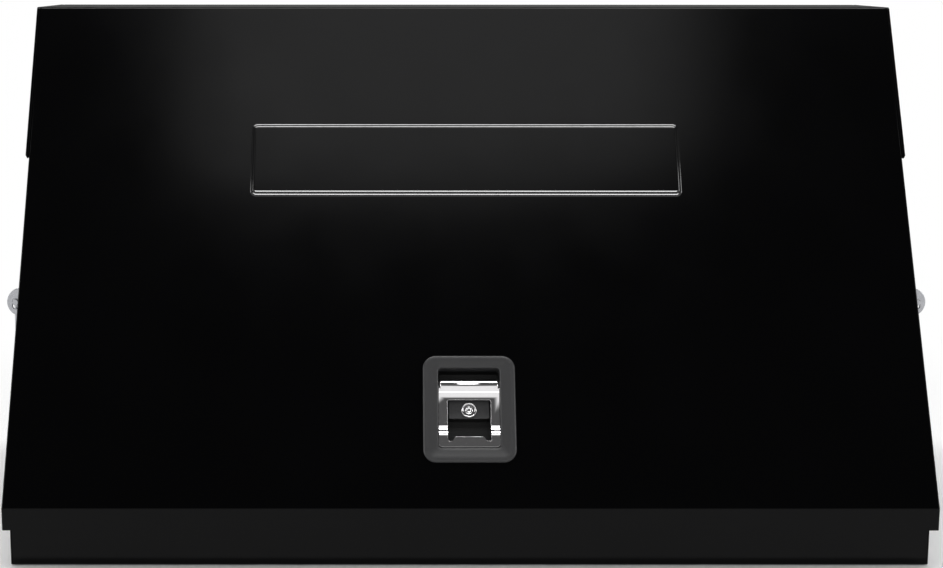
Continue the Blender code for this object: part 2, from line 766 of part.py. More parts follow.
def make_rocker(zinc, slope):
    """Rocker on a stud behind the pan. The paddle's tail presses its tab, and its pin lifts the bolt."""
    pivot = make_empty("rocker_pivot", (0, ROCKER_U, 0))
    pivot.parent = slope
    low, high = ROCKER_N
    bar = rounded_rectangle((-0.0035, 0), 0.055, 0.012, 0.005)
    rocker = prism("latch_rocker", bar, low, high, "Z", zinc, pivot)
    tab_x = (-0.0295, -0.0200)
    tab_top = 0.0065
    tab = block("rocker_tab", tab_x, (0.0041, tab_top), (low + 0.0002, -0.0265), None, pivot)
    combine(rocker, tab, "UNION")
    web = block("rocker_web", tab_x, (0.0030, tab_top), (low + 0.0001, high - 0.0001), None, pivot)
    combine(rocker, web, "UNION")
    arm_end = Matrix.Translation((ROCKER_ARM, 0, 0))
    pin = turned("rocker_pin", rod(low + 0.0003, -0.0255, 0.0020), 12, arm_end)
    pin.parent = pivot
    combine(rocker, pin, "UNION")
    bore = turned("rocker_bore", rod(-0.04, -0.03, ROCKER_STUD + GAP), 12, Matrix(), None, pivot)
    combine(rocker, bore, "DIFFERENCE")
    start = -PAN_DEPTH - GAP
    shoulder = low - GAP
    head = ROCKER_STUD + 0.0022
    stud = [(0, start), (ROCKER_STUD, start), (ROCKER_STUD, shoulder), (head, shoulder)]
    stud += [(head, shoulder - 0.0014), (0, shoulder - 0.0014)]
    turned("rocker_stud", stud, 12, Matrix.Translation((0, ROCKER_U, 0)), zinc, slope)


def make_bolt(zinc, slope):
    """Sliding bolt with a bevelled tip and a slot for the rocker's pin."""
    low, high = BOLT_N
    side = [
        (BOLT_TIP_U, high),
        (BOLT_TOP_U, high),
        (BOLT_TOP_U, low),
        (BOLT_TIP_U + 0.008, low),
        (BOLT_TIP_U, high - 0.0010),
    ]
    bolt = prism("latch_bolt", side, BOLT_X - BOLT_WIDTH / 2, BOLT_X + BOLT_WIDTH / 2, "X", zinc, slope)
    slot = rounded_rectangle((ROCKER_ARM - 0.0018, ROCKER_U), 0.0110, 0.0052, 0.0024)
    combine(bolt, prism("bolt_slot", slot, -0.035, -0.020, "Z", None, slope), "DIFFERENCE")


def make_bolt_guides(zinc, slope):
    """Straps under the pan that hold the bolt as it slides."""
    inner = BOLT_WIDTH / 2 + 0.0004
    outer = inner + 0.0036
    root = -PAN_DEPTH - GAP
    seat = BOLT_N[0] - 0.0004
    crown = seat - 0.0016
    strap = [(-outer, root), (-outer, crown), (outer, crown), (outer, root)]
    strap += [(inner, root), (inner, seat), (-inner, seat), (-inner, root)]
    section = [(BOLT_X + a, n) for a, n in strap]
    for label, low in (("lower", 0.0625), ("upper", 0.1325)):
        prism(f"bolt_guide_{label}", section, low, low + 0.010, "Y", zinc, slope)


def make_latch_cover(steel, slope):
    """Sheet cover over the mechanism, open towards the lid and slotted for the bolt."""
    low_u, high_u = COVER_U
    outside_n = (-COVER_DEPTH, -LID_SHEET - 0.0005)
    cover = block("latch_cover", (-COVER_HALF, COVER_HALF), COVER_U, outside_n, steel, slope)
    inner = COVER_HALF - COVER_SHEET
    inside_u = (low_u + COVER_SHEET, high_u - COVER_SHEET)
    inside_n = (COVER_SHEET - COVER_DEPTH, 0)
    inside = block("latch_cover_inside", (-inner, inner), inside_u, inside_n, None, slope)
    combine(cover, inside, "DIFFERENCE")
    gate_x = (BOLT_X - BOLT_WIDTH / 2 - 0.0015, BOLT_X + BOLT_WIDTH / 2 + 0.0015)
    gate_n = (BOLT_N[0] - 0.001, BOLT_N[1] + 0.001)
    gate = block("latch_cover_gate", gate_x, (low_u - 0.01, low_u + 0.01), gate_n, None, slope)
    combine(cover, gate, "DIFFERENCE")


# Gas struts


def make_strut(side, label, black, chrome, plastic):
    """Cylinder and rod on one line from the case's stud to the lid's stud, at rest."""
    low = Vector(STRUT_CASE_PIVOT)
    high = Vector(STRUT_LID_PIVOT)
    length = (high - low).length
    lean = math.atan2(high.x - low.x, high.y - low.y)
    pivot = make_empty(f"strut_pivot_{label}", (side * STRUT_X, low.x, low.y), (-lean, 0, 0))
    bore = STRUT_TUBE_RADIUS - 0.0014
    mouth = STRUT_ROD_RADIUS + GAP
    tube = [
        (0, 0.014),
        (0.0045, 0.014),
        (0.0045, 0.020),
        (STRUT_TUBE_RADIUS, 0.022),
        (STRUT_TUBE_RADIUS, STRUT_TUBE_TOP - 0.002),
        (mouth, STRUT_TUBE_TOP),
        (mouth, STRUT_TUBE_TOP - 0.008),
        (bore, STRUT_TUBE_TOP - 0.009),
        (bore, 0.024),
        (0, 0.024),
    ]
    turned(f"strut_cylinder_{label}", tube, 16, Matrix(), black, pivot)
    piston = bore - 0.0004
    rod_end = length - 0.0155
    shaft = [(0, 0.032), (piston, 0.032), (piston, 0.042), (STRUT_ROD_RADIUS, 0.042)]
    shaft += [(STRUT_ROD_RADIUS, rod_end), (0, rod_end)]
    turned(f"strut_rod_{label}", shaft, 16, Matrix(), chrome, pivot)
    make_socket(f"strut_foot_{label}", 0, 0.0137, plastic, pivot, STRUT_STUD + 0.0004)
    make_socket(f"strut_head_{label}", length, length - 0.0152, plastic, pivot, None)


def make_socket(name, centre, neck, plastic, pivot, bore):
    """Plastic end fitting: an eye across the strut with a neck towards it."""
    place = across(0, 0, centre)
    socket = turned(name, rod(-SOCKET_HALF, SOCKET_HALF, SOCKET_RADIUS), 20, place, plastic, pivot)
    low, high = sorted((centre, neck))
    combine(socket, turned(f"{name}_neck", rod(low, high, 0.0055), 12, Matrix(), None, pivot), "UNION")
    if bore:
        hole = turned(f"{name}_bore", rod(-0.02, 0.02, bore), 16, place, None, pivot)
        combine(socket, hole, "DIFFERENCE")


def make_strut_brackets(side, label, zinc):
    """Case bracket on the side wall, and lid bracket under the top, each with a stud for the strut."""
    sheet = 0.0025
    low_y, low_z = STRUT_CASE_PIVOT
    plate = rounded_rectangle(STRUT_CASE_PIVOT, 0.034, 0.050, 0.006, 3)
    plate_x = sorted((side * INNER_WALL_X, side * (INNER_WALL_X - sheet)))
    bracket = prism(f"strut_bracket_case_{label}", plate, *plate_x, "X", zinc)
    stud_x = sorted((side * (INNER_WALL_X - 0.001), side * (STRUT_X - SOCKET_HALF + 0.001)))
    stud = turned(f"strut_stud_case_{label}", rod(*stud_x, STRUT_STUD), 16, across(0, low_y, low_z))
    combine(bracket, stud, "UNION")

    high_y, high_z = STRUT_LID_PIVOT
    top = HEIGHT - LID_SHEET - GAP
    web_x = STRUT_X + SOCKET_HALF + 0.0060
    foot_y = (high_y - 0.030, high_y + 0.0182)
    web = [
        (high_y - 0.012, high_z - 0.010),
        (high_y + 0.010, high_z - 0.010),
        (high_y + 0.0082, high_z + 0.010),
        (foot_y[1], top),
        (foot_y[0], top),
    ]
    web_reach = sorted((side * web_x, side * (web_x + sheet)))
    hanger = prism(f"strut_bracket_lid_{label}", web, *web_reach, "X", zinc)
    foot_x = sorted((side * web_x, side * (web_x + 0.016)))
    foot = block(f"strut_hanger_foot_{label}", foot_x, foot_y, (top - sheet, top))
    combine(hanger, foot, "UNION")
    stub_x = sorted((side * (web_x + 0.001), side * (STRUT_X + SOCKET_HALF + 0.0005)))
    stub = turned(f"strut_stud_lid_{label}", rod(*stub_x, STRUT_STUD), 16, across(0, high_y, high_z))
    combine(hanger, stub, "UNION")


# Side handles


def make_handle(side, label, zinc, rubber, steel):
    make_handle_bracket(side, label, zinc)
    make_handle_rivets(side, label, steel)
    make_bail(side, label, zinc, rubber)


def make_handle_bracket(side, label, zinc):
    """Plate with two ears, slotted for the bail's ends."""
    plate_low = HALF_CASE + GAP
    plate_x = sorted((side * plate_low, side * (plate_low + PLATE_THICKNESS)))
    plate_width = EAR_REAR_Y - EAR_FRONT_Y - 0.0002
    plate = rounded_rectangle((EARS_MIDDLE_Y, HANDLE_Z), plate_width, PLATE_HEIGHT, 0.004, 3)
    bracket = prism(f"handle_bracket_{label}", plate, *plate_x, "X", zinc)
    straight = EAR_REACH - EAR_RADIUS
    rim = [(0, -EAR_RADIUS)] + arc((straight, 0), EAR_RADIUS, -90, 90, 10) + [(0, EAR_RADIUS)]
    ear = [(side * (plate_low + a), HANDLE_Z + b) for a, b in rim]
    for where, y in (("front", EAR_FRONT_Y), ("rear", EAR_REAR_Y - EAR_THICKNESS)):
        helper = prism(f"handle_ear_{where}_{label}", ear, y, y + EAR_THICKNESS, "Y")
        combine(bracket, helper, "UNION")
    slot = rounded_rectangle((side * BAIL_X, HANDLE_Z - 0.0020), 0.0068, 0.0108, 0.0033)
    slots = prism(f"handle_slots_{label}", slot, EAR_FRONT_Y - 0.01, EAR_REAR_Y + 0.01, "Y")
    combine(bracket, slots, "DIFFERENCE")


def rivet_places():
    spread_y, spread_z = RIVET_SPREAD
    return [(EARS_MIDDLE_Y + a * spread_y, HANDLE_Z + b * spread_z) for a in (-1, 1) for b in (-1, 1)]


def make_handle_rivets(side, label, steel):
    """Four rivets on one backing plate inside the wall, and their holes."""
    face = side * (HALF_CASE + PLATE_THICKNESS + 2 * GAP)
    inside = side * (INNER_WALL_X - 0.0010)
    profile = [(0, inside), (RIVET_RADIUS, inside), (RIVET_RADIUS, face), (RIVET_HEAD, face)]
    profile += [(RIVET_HEAD - 0.001, face + side * 0.0012), (0, face + side * 0.0017)]
    rivets = bmesh.new()
    holes = bmesh.new()
    for y, z in rivet_places():
        turned_shape(rivets, profile, 10, across(0, y, z))
        turned_shape(holes, rod(-0.5, 0.5, RIVET_RADIUS + GAP), 10, across(0, y, z))
    shanks = add_object(f"handle_rivet_shanks_{label}", mesh_of(rivets, f"handle_shanks_{label}"), None)
    backing = rounded_rectangle((EARS_MIDDLE_Y, HANDLE_Z), 0.112, 0.030, 0.004, 3)
    backing_x = sorted((side * INNER_WALL_X, side * (INNER_WALL_X - PLATE_THICKNESS)))
    anchor = prism(f"handle_rivets_{label}", backing, *backing_x, "X", steel)
    combine(anchor, shanks, "UNION")
    drill = add_object(f"handle_rivet_holes_{label}", mesh_of(holes, f"handle_holes_{label}"), None)
    combine(bpy.data.objects[f"handle_bracket_{label}"], drill, "DIFFERENCE")
    combine(bpy.data.objects[f"side_panel_{label}"], drill, "DIFFERENCE")


def make_bail(side, label, zinc, rubber):
    """Wire bail that hangs from the ears, with a grip on its lower run."""
    pivot = make_empty(f"bail_pivot_{label}", (side * BAIL_X, 0, HANDLE_Z))
    end_reach = 0.0030
    front = EAR_FRONT_Y - end_reach
    rear = EAR_REAR_Y + end_reach
    leg_front = EAR_FRONT_Y + EAR_THICKNESS + 0.0050
    leg_rear = EAR_REAR_Y - EAR_THICKNESS - 0.0050
    corners = [
        (0, front, 0),
        (0, leg_front, 0),
        (0, leg_front, -BAIL_DROP),
        (0, leg_rear, -BAIL_DROP),
        (0, leg_rear, 0),
        (0, rear, 0),
    ]
    wire(f"handle_bail_{label}", bent_path(corners, BAIL_BEND, 4), BAIL_RADIUS, zinc, pivot, 3)
    grip_place = Matrix.Translation((0, 0, -BAIL_DROP)) @ Matrix.Rotation(math.radians(-90), 4, "X")
    low = leg_front + 0.0075
    high = leg_rear - 0.0075
    bore = BAIL_RADIUS + GAP
    edge = 0.001
    grip = [(bore, low), (GRIP_RADIUS - edge, low), (GRIP_RADIUS, low + edge)]
    grip += [(GRIP_RADIUS, high - edge), (GRIP_RADIUS - edge, high), (bore, high)]
    turned(f"handle_grip_{label}", grip, 16, grip_place, rubber, pivot, closed=True)


def main():
    clear_scene()
    gloss_black = make_material("gloss_black_paint", (0.006, 0.006, 0.006), 0.18, 0.0)
    dark_steel = make_material("dark_steel", (0.10, 0.10, 0.10), 0.45, 1.0)
    zinc = make_material("zinc_plate", (0.62, 0.63, 0.64), 0.35, 1.0)
    chrome = make_material("chrome", (0.80, 0.80, 0.80), 0.08, 1.0)
    grey_die = make_material("grey_die_casting", (0.05, 0.05, 0.05), 0.40, 0.6)
    rubber = make_material("black_rubber", (0.02, 0.02, 0.02), 0.70, 0.0)
    plastic = make_material("black_plastic", (0.03, 0.03, 0.03), 0.45, 0.0)

    make_case_wrap(gloss_black)
    make_rim_seal(rubber)
    make_striker(zinc)
    lid = make_lid_panel(gloss_black)
    slope = make_empty("slope_frame", (0, FRONT_Y, FOLD_Z), (SLOPE_ANGLE, 0, 0))
    cut_lid(lid, slope)
    for side, label in ((-1, "left"), (1, "right")):
        make_side_panel(side, label, gloss_black)
        make_cheek(side, label, gloss_black)
        make_stiffener(side, label, gloss_black, slope)
        make_strut(side, label, dark_steel, chrome, plastic)
        make_strut_brackets(side, label, zinc)
        make_handle(side, label, zinc, rubber, dark_steel)
    make_hinge(zinc, gloss_black)

    make_latch_dish(grey_die, slope)
    make_latch_gasket(rubber, slope)
    make_clamp_frame(zinc, slope)
    make_latch_nuts(zinc, slope)
    make_paddle(chrome, slope)
    make_paddle_pin(zinc, slope)
    make_paddle_spring(dark_steel, slope)
    make_lock(chrome, zinc, slope)
    make_rocker(zinc, slope)
    make_bolt(zinc, slope)
    make_bolt_guides(zinc, slope)
    make_latch_cover(gloss_black, slope)


main()
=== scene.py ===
"""Looks of the portable toolbox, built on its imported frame.

Metres, +Z up, in the frame's own axes. Pieces on the slope are drawn in the slope's frame: x across,
u up the slope from its lower fold, n outwards from the outer face.
"""

import json
import math

import bmesh
import bpy
from mathutils import Matrix, Vector


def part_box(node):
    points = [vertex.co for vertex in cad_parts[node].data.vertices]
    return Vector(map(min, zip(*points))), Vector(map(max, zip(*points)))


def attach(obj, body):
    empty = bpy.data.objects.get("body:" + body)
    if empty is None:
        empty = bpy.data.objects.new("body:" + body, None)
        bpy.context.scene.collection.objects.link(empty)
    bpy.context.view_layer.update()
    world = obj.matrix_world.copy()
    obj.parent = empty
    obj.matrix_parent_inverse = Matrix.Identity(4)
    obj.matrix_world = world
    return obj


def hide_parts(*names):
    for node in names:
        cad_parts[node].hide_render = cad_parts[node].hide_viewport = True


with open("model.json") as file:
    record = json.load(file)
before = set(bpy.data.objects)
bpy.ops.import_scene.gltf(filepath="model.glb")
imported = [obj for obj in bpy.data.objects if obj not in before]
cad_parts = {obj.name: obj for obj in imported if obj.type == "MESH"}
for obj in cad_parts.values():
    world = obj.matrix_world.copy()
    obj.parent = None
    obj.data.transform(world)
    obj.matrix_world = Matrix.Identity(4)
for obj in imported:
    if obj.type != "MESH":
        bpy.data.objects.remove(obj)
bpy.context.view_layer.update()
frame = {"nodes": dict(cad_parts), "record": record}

# Places read from the frame
LID_LOW, LID_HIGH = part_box("lid_panel")
HALF_LID = LID_HIGH.x
HALF_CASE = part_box("side_panel_right")[1].x
FRONT_Y = LID_LOW.y
BACK_Y = LID_HIGH.y
HEIGHT = LID_HIGH.z
LIP_Z = LID_LOW.z
CASE_FRONT_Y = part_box("case_wrap")[0].y

# The slope
FOLD_Z = 0.063
SLOPE_RUN = 0.281
TOP_FRONT_Y = FRONT_Y + SLOPE_RUN
SLOPE_ANGLE = math.atan2(HEIGHT - FOLD_Z, SLOPE_RUN)
SLOPE = Matrix.Translation((0, FRONT_Y, FOLD_Z)) @ Matrix.Rotation(SLOPE_ANGLE, 4, "X")
ALONG = Vector((math.cos(SLOPE_ANGLE), math.sin(SLOPE_ANGLE)))
OUTWARD = Vector((-math.sin(SLOPE_ANGLE), math.cos(SLOPE_ANGLE)))

# Sheet metal
GAP = 0.0003
LID_SHEET = 0.0015
CASE_SHEET = 0.0012
LID_BEND = 0.004
CASE_BEND = 0.003
REAR_PLAY = 0.0008
SIDE_ROUND = 0.0016
SIDE_ROUND_STEPS = 4
SHEET_EDGE = 0.0006
SKIRT_DEPTH = 0.020
LID_REAR_Z = 0.5075
CASE_JOG = (0.4965, 0.5010)
RIM_DEPTH = 0.017
RIM_FLANGE = 0.009

# Raised frame of the plain field
FIELD_U = (0.3307, 0.4138)
FIELD_WIDTH = 0.4485
FIELD_RADIUS = 0.0063
FIELD_BEAD = 0.0045
FIELD_RISE = 0.00034
FIELD_SINK = 0.00004
FIELD_INNER_RADIUS = 0.0012
CROWN_ROUNDING = 0.12
RIDGE_STEPS = 6
# Shares by which its bottom run is wider and higher
FIELD_WIDEN = 0.28
FIELD_LOW_GAIN = 0.71

# Wedge that cuts the cheeks' lower edge at a slant
WEDGE_MARGIN = 0.001
WEDGE_RISE = 0.0045
WEDGE_IN = 0.0006
WEDGE_Y = (-0.2, 0.3)

# Latch
LATCH_U = 0.1016
BEZEL = (0.0922, 0.1102)
BEZEL_RADIUS = 0.013
MOUTH_U = 0.1028
MOUTH = (0.0616, 0.0828)
MOUTH_RADIUS = 0.004
PAN_DEPTH = 0.024
PAN_WALL = 0.002
PAN_PLAY = 0.001
PAN_EDGE = 0.0008
MOUTH_CUT_N = (-0.01, 0.01)
CAST_EDGE = 0.0007
PADDLE_WIDTH = 0.0607
PADDLE_PIVOT = (0.1265, -0.0075)
PADDLE_BARREL = 0.0079
PADDLE_SHEET = 0.0025
PADDLE_LOW_U = 0.0624
WINDOW_U = (0.0732, 0.1121)
WINDOW_WIDTH = 0.0430
LOCK_U = 0.1030
LOCK_RADIUS = 0.0077
LOCK_FACE_N = -0.0080
PLUG_RADIUS = 0.0060
HOUSING_BACK_N = -0.0255
PLUG_BACK_N = -0.0262
LOCK_STEP_U = 0.1047
LOCK_STEP = (0.0412, 0.0208)
LOCK_STEP_RADIUS = 0.0012
LOCK_STEP_N = (-0.0230, LOCK_FACE_N - 0.0015)

# Keyway, as (x, u) from the lock's middle
KEYWAY = (
    (-0.0030, -0.0006),
    (0.0030, -0.0006),
    (0.0030, 0.0004),
    (0.0012, 0.0004),
    (0.0012, 0.0011),
    (-0.0014, 0.0011),
    (-0.0014, 0.0004),
    (-0.0030, 0.0004),
)
KEYWAY_N = (-0.0140, 0.001)

# The bezel's rim as (inset, height), and the mouth inside it as (growth, height)
BEZEL_RIM = (
    (0.0, GAP),
    (0.0, 0.0009),
    (0.0002, 0.0016),
    (0.0008, 0.0023),
    (0.0018, 0.0027),
    (0.0032, 0.0028),
    (0.0062, 0.0026),
    (0.0074, 0.0022),
)
BEZEL_MOUTH = (
    (0.0030, 0.0018),
    (0.0010, 0.0014),
    (0.0004, 0.0011),
    (0.0, 0.0004),
    (0.0, PAN_WALL - PAN_DEPTH),
)

# Lever, with u and n from its pivot. The blocks are (x span, n span, half their size along u).
LEG_HIGH_N = 0.0040
LEG_LOW_N = 0.0080
LIP_FOLD = 0.0055
LEG_TOP_U = 0.010
LEVER_PLAY = 0.0005
LEVER_EDGE = 0.0009
TAIL_EDGE = 0.0004
S_BEND_U = (0.0012, 0.0124)
BARREL_RAMP = ((-0.0106, 0.0), (-0.0072, 0.0016), (-0.0065, 0.0015), (-0.0034, 0.0031))
CUT_REACH = 0.03
PIN_RADIUS = 0.0023
BARREL_CHAMFER = 0.0022
BARREL_ROUND = 0.0003
SPRING_NOTCH = ((-0.008, 0.008), (-0.012, 0.0042), 0.0045)
TAIL = ((-0.0290, -0.0222), (-0.0240, -0.003), 0.0035)

# Side handles
BRACKET_SHEET = 0.0020
BRACKET_RADIUS = 0.004
BRACKET_PLAY = 0.0002
EAR_SHEET = 0.003
EAR_RADIUS = 0.0144
EAR_REACH = 0.0133
EAR_INSET = 0.0006
EAR_STEPS = 24
BAIL_X = 0.4660
BAIL_SLOT = (0.0064, 0.0104)
BAIL_SLOT_RADIUS = 0.0031
BAIL_SLOT_DROP = 0.0020
BAIL_SLOT_Y = (-0.01, 0.02)
BAIL_RADIUS = 0.0033
GRIP_RIBS = 9
GRIP_END = 0.0070
GRIP_RIM = ((0.0012, 0.0), (0.0002, 0.0010), (0.0, 0.0022))
GRIP_GROOVE = ((0.0, 0.0), (0.18, 0.0007), (0.5, 0.0009), (0.82, 0.0007), (1.0, 0.0))
GRIP_GROOVE_SHARE = 0.96

# Light, with the sky's places as parts of a direction of length 1
HORIZON_FADE = (0.40, 0.64)
SKY_LEVEL = 0.09
SOFT_BOX_LEVEL = 2.45
SOFT_BOX_UP = (0.801, 0.817)
SOFT_BOX_LEFT = (-0.138, -0.088)
SOFT_BOX_RIGHT = (0.125, 0.200)
SOFT_BOX_FRONT = (-0.30, -0.10)
OVERHEAD_WATTS = 50
SIDE_WATTS = 16

# Floor
FLOOR_RADIUS = 40
FLOOR_DROP = 0.0006
FLOOR_GLOW = (0.50, 1.2)

# Materials. Most of a noise's values lie in its middle, dust begins just under the lid's top, and
# painted shade darkens the pan's coat between two heights over the slope.
NOISE_MIDDLE = (0.3, 0.7)
DUST_DEPTH = (0.0012, 0.0002)
DUST_ROUGHNESS = 0.62
PAN_SHADE_N = (-0.0125, -0.0097)

# Camera, fitted to the photograph's outline
IMAGE_WIDTH = 943
FOCAL_PIXELS = 1801
CENTRE_X = 396
CAMERA_PLACE = (-0.075, -1.9045, 0.581)
CAMERA_PITCH = 9.93
CAMERA_YAW = 0.07
CAMERA_ROLL = 0.03


# Nodes


def mapped(tree, source, start, end, low, high, smooth=False):
    """The source's value turned from low to high between two of its values."""
    node = tree.nodes.new("ShaderNodeMapRange")
    if smooth:
        node.interpolation_type = "SMOOTHSTEP"
    for socket, value in (("From Min", start), ("From Max", end), ("To Min", low), ("To Max", high)):
        node.inputs[socket].default_value = value
    tree.links.new(source, node.inputs["Value"])
    return node.outputs["Result"]


def combined(tree, operation, *sources):
    """The sources taken together by one maths operation."""
    total = sources[0]
    for source in sources[1:]:
        node = tree.nodes.new("ShaderNodeMath")
        node.operation = operation
        tree.links.new(total, node.inputs[0])
        tree.links.new(source, node.inputs[1])
        total = node.outputs[0]
    return total


# Materials


class Surface:
    """A Principled material with a few node shortcuts. Coordinates are the object's, in metres."""

    def __init__(self, name, colour, roughness, metallic=0.0):
        self.made = bpy.data.materials.new(name)
        self.made.use_nodes = True
        self.tree = self.made.node_tree
        self.shader = self.tree.nodes["Principled BSDF"]
        self.shader.inputs["Base Color"].default_value = (*colour, 1.0)
        self.shader.inputs["Roughness"].default_value = roughness
        self.shader.inputs["Metallic"].default_value = metallic
        self.made.diffuse_color = (*colour, 1.0)
        self.space = self.tree.nodes.new("ShaderNodeTexCoord").outputs["Object"]

    def set(self, **values):
        for socket, value in values.items():
            self.shader.inputs[socket.replace("_", " ")].default_value = value

    def noise(self, scale, detail):
        node = self.tree.nodes.new("ShaderNodeTexNoise")
        node.inputs["Scale"].default_value = scale
        node.inputs["Detail"].default_value = detail
        self.tree.links.new(self.space, node.inputs["Vector"])
        return node.outputs["Fac"]

    def roughen(self, source, low, high):
        rough = mapped(self.tree, source, *NOISE_MIDDLE, low, high)
        self.tree.links.new(rough, self.shader.inputs["Roughness"])

    def dull_above(self, start, end, roughness):
        """Raises the roughness between two heights, where dust settles."""
        split = self.tree.nodes.new("ShaderNodeSeparateXYZ")
        self.tree.links.new(self.space, split.inputs[0])
        dust = mapped(self.tree, split.outputs["Z"], start, end, 0.0, roughness)
        socket = self.shader.inputs["Roughness"]
        before = socket.links[0].from_socket
        self.tree.links.new(combined(self.tree, "MAXIMUM", before, dust), socket)

    def over_slope(self, low, high):
        """0 below one height over the slope's outer face and 1 above another."""
        dot = self.tree.nodes.new("ShaderNodeVectorMath")
        dot.operation = "DOT_PRODUCT"
        dot.inputs[1].default_value = (0.0, OUTWARD.x, OUTWARD.y)
        self.tree.links.new(self.space, dot.inputs[0])
        level = Vector((FRONT_Y, FOLD_Z)).dot(OUTWARD)
        return mapped(self.tree, dot.outputs["Value"], level + low, level + high, 0.0, 1.0)

    def tint(self, source, dark, light):
        node = self.tree.nodes.new("ShaderNodeMix")
        node.data_type = "RGBA"
        node.inputs[6].default_value = (*dark, 1.0)
        node.inputs[7].default_value = (*light, 1.0)
        self.tree.links.new(source, node.inputs["Factor"])
        self.tree.links.new(node.outputs[2], self.shader.inputs["Base Color"])

    def bump(self, source, distance, strength):
        node = self.tree.nodes.new("ShaderNodeBump")
        node.inputs["Strength"].default_value = strength
        node.inputs["Distance"].default_value = distance
        self.tree.links.new(source, node.inputs["Height"])
        self.tree.links.new(node.outputs["Normal"], self.shader.inputs["Normal"])


def gloss_black():
    """Powder coat: deep black with a faint orange peel, dusty on top of the lid."""
    made = Surface("gloss_black_coat", (0.0035, 0.0035, 0.0038), 0.16)
    made.set(Specular_IOR_Level=0.11)
    made.tint(made.noise(9, 2), (0.0004, 0.0004, 0.0005), (0.0010, 0.0010, 0.0012))
    made.roughen(made.noise(14, 2), 0.10, 0.13)
    made.dull_above(HEIGHT - DUST_DEPTH[0], HEIGHT - DUST_DEPTH[1], DUST_ROUGHNESS)
    made.bump(made.noise(420, 2), 0.00002, 0.20)
    return made.made


def bead_with_painted_highlight():
    """The same coat on the pressed frame, lighter in colour and stronger in reflection, as painted
    highlight on its lines.
    """
    made = Surface("gloss_black_bead", (0.0035, 0.0035, 0.0038), 0.12)
    # Painted highlight: a stronger reflection and a lighter tint than the lid's coat, so the frame's
    # lines shine brighter.
    made.set(Specular_IOR_Level=0.55)
    made.tint(made.noise(9, 2), (0.0006, 0.0006, 0.0007), (0.0012, 0.0012, 0.0014))
    made.roughen(made.noise(90, 2), 0.08, 0.14)
    return made.made


def grey_casting():
    """Dark grey satin coat over a die casting, with painted shade making it nearly black deep in the
    pan.
    """
    made = Surface("grey_casting", (0.030, 0.030, 0.031), 0.42)
    made.set(Specular_IOR_Level=0.45)
    # Painted shade: the base colour darkens to nearly black deeper in the pan behind the bezel's
    # mouth.
    made.tint(made.over_slope(*PAN_SHADE_N), (0.002, 0.002, 0.002), (0.024, 0.024, 0.025))
    made.roughen(made.noise(500, 3), 0.36, 0.48)
    made.bump(made.noise(1800, 4), 0.00004, 0.5)
    return made.made


def chrome():
    """Chrome plate with a trace of wear."""
    made = Surface("chrome_plate", (0.80, 0.79, 0.80), 0.06, 1.0)
    made.tint(made.noise(120, 3), (0.76, 0.75, 0.76), (0.84, 0.83, 0.84))
    made.roughen(made.noise(700, 4), 0.04, 0.10)
    made.bump(made.noise(250, 2), 0.00002, 0.15)
    return made.made


def zinc():
    """Bright zinc plate with a cloudy passivated bloom."""
    made = Surface("zinc_plate", (0.45, 0.46, 0.47), 0.32, 1.0)
    made.tint(made.noise(90, 5), (0.36, 0.37, 0.39), (0.50, 0.50, 0.52))
    made.roughen(made.noise(240, 4), 0.24, 0.40)
    made.bump(made.noise(900, 3), 0.00003, 0.3)
    return made.made


def dark_steel():
    """Blackened steel with a satin grain."""
    made = Surface("satin_black_steel", (0.022, 0.022, 0.023), 0.38)
    made.set(Specular_IOR_Level=0.5)
    made.tint(made.noise(200, 4), (0.018, 0.018, 0.019), (0.028, 0.028, 0.029))
    made.roughen(made.noise(400, 3), 0.32, 0.46)
    made.bump(made.noise(1200, 3), 0.00003, 0.4)
    return made.made


def rubber():
    made = Surface("black_rubber", (0.016, 0.016, 0.016), 0.72)
    made.set(Specular_IOR_Level=0.35)
    made.tint(made.noise(160, 4), (0.012, 0.012, 0.012), (0.022, 0.022, 0.022))
    made.roughen(made.noise(300, 4), 0.62, 0.82)
    made.bump(made.noise(1500, 4), 0.00006, 0.6)
    return made.made


def black_plastic():
    made = Surface("moulded_black_plastic", (0.024, 0.024, 0.025), 0.45)
    made.tint(made.noise(220, 3), (0.021, 0.021, 0.022), (0.029, 0.029, 0.030))
    made.roughen(made.noise(350, 3), 0.38, 0.54)
    made.bump(made.noise(1400, 4), 0.00005, 0.5)
    return made.made


FINISHES = {
    "gloss_black": gloss_black(),
    "grey_casting": grey_casting(),
    "chrome": chrome(),
    "zinc": zinc(),
    "dark_steel": dark_steel(),
    "rubber": rubber(),
    "black_plastic": black_plastic(),
}


# Shapes


def slope_point(u, n):
    """(y, z) of a point in the slope's frame."""
    return Vector((FRONT_Y, FOLD_Z)) + ALONG * u + OUTWARD * n


def slope_line(n, y=None, z=None):
    """Where the line at height n over the slope meets a given y or z."""
    start = slope_point(0, n)
    if y is not None:
        u = (y - start.x) / ALONG.x
    else:
        u = (z - start.y) / ALONG.y
    return tuple(slope_point(u, n))


def arc(centre, radius, start, end, steps):
    """Points of an arc between two angles in degrees."""
    points = []
    for i in range(steps + 1):
        angle = math.radians(start + (end - start) * i / steps)
        points.append((centre[0] + radius * math.cos(angle), centre[1] + radius * math.sin(angle)))
    return points


def rounded_rectangle(centre, width, height, radius, steps=8):
    points = []
    for corner, (sign_a, sign_b) in enumerate(((1, 1), (-1, 1), (-1, -1), (1, -1))):
        middle = (
            centre[0] + sign_a * (width / 2 - radius),
            centre[1] + sign_b * (height / 2 - radius),
        )
        points += arc(middle, radius, corner * 90, corner * 90 + 90, steps)
    return points


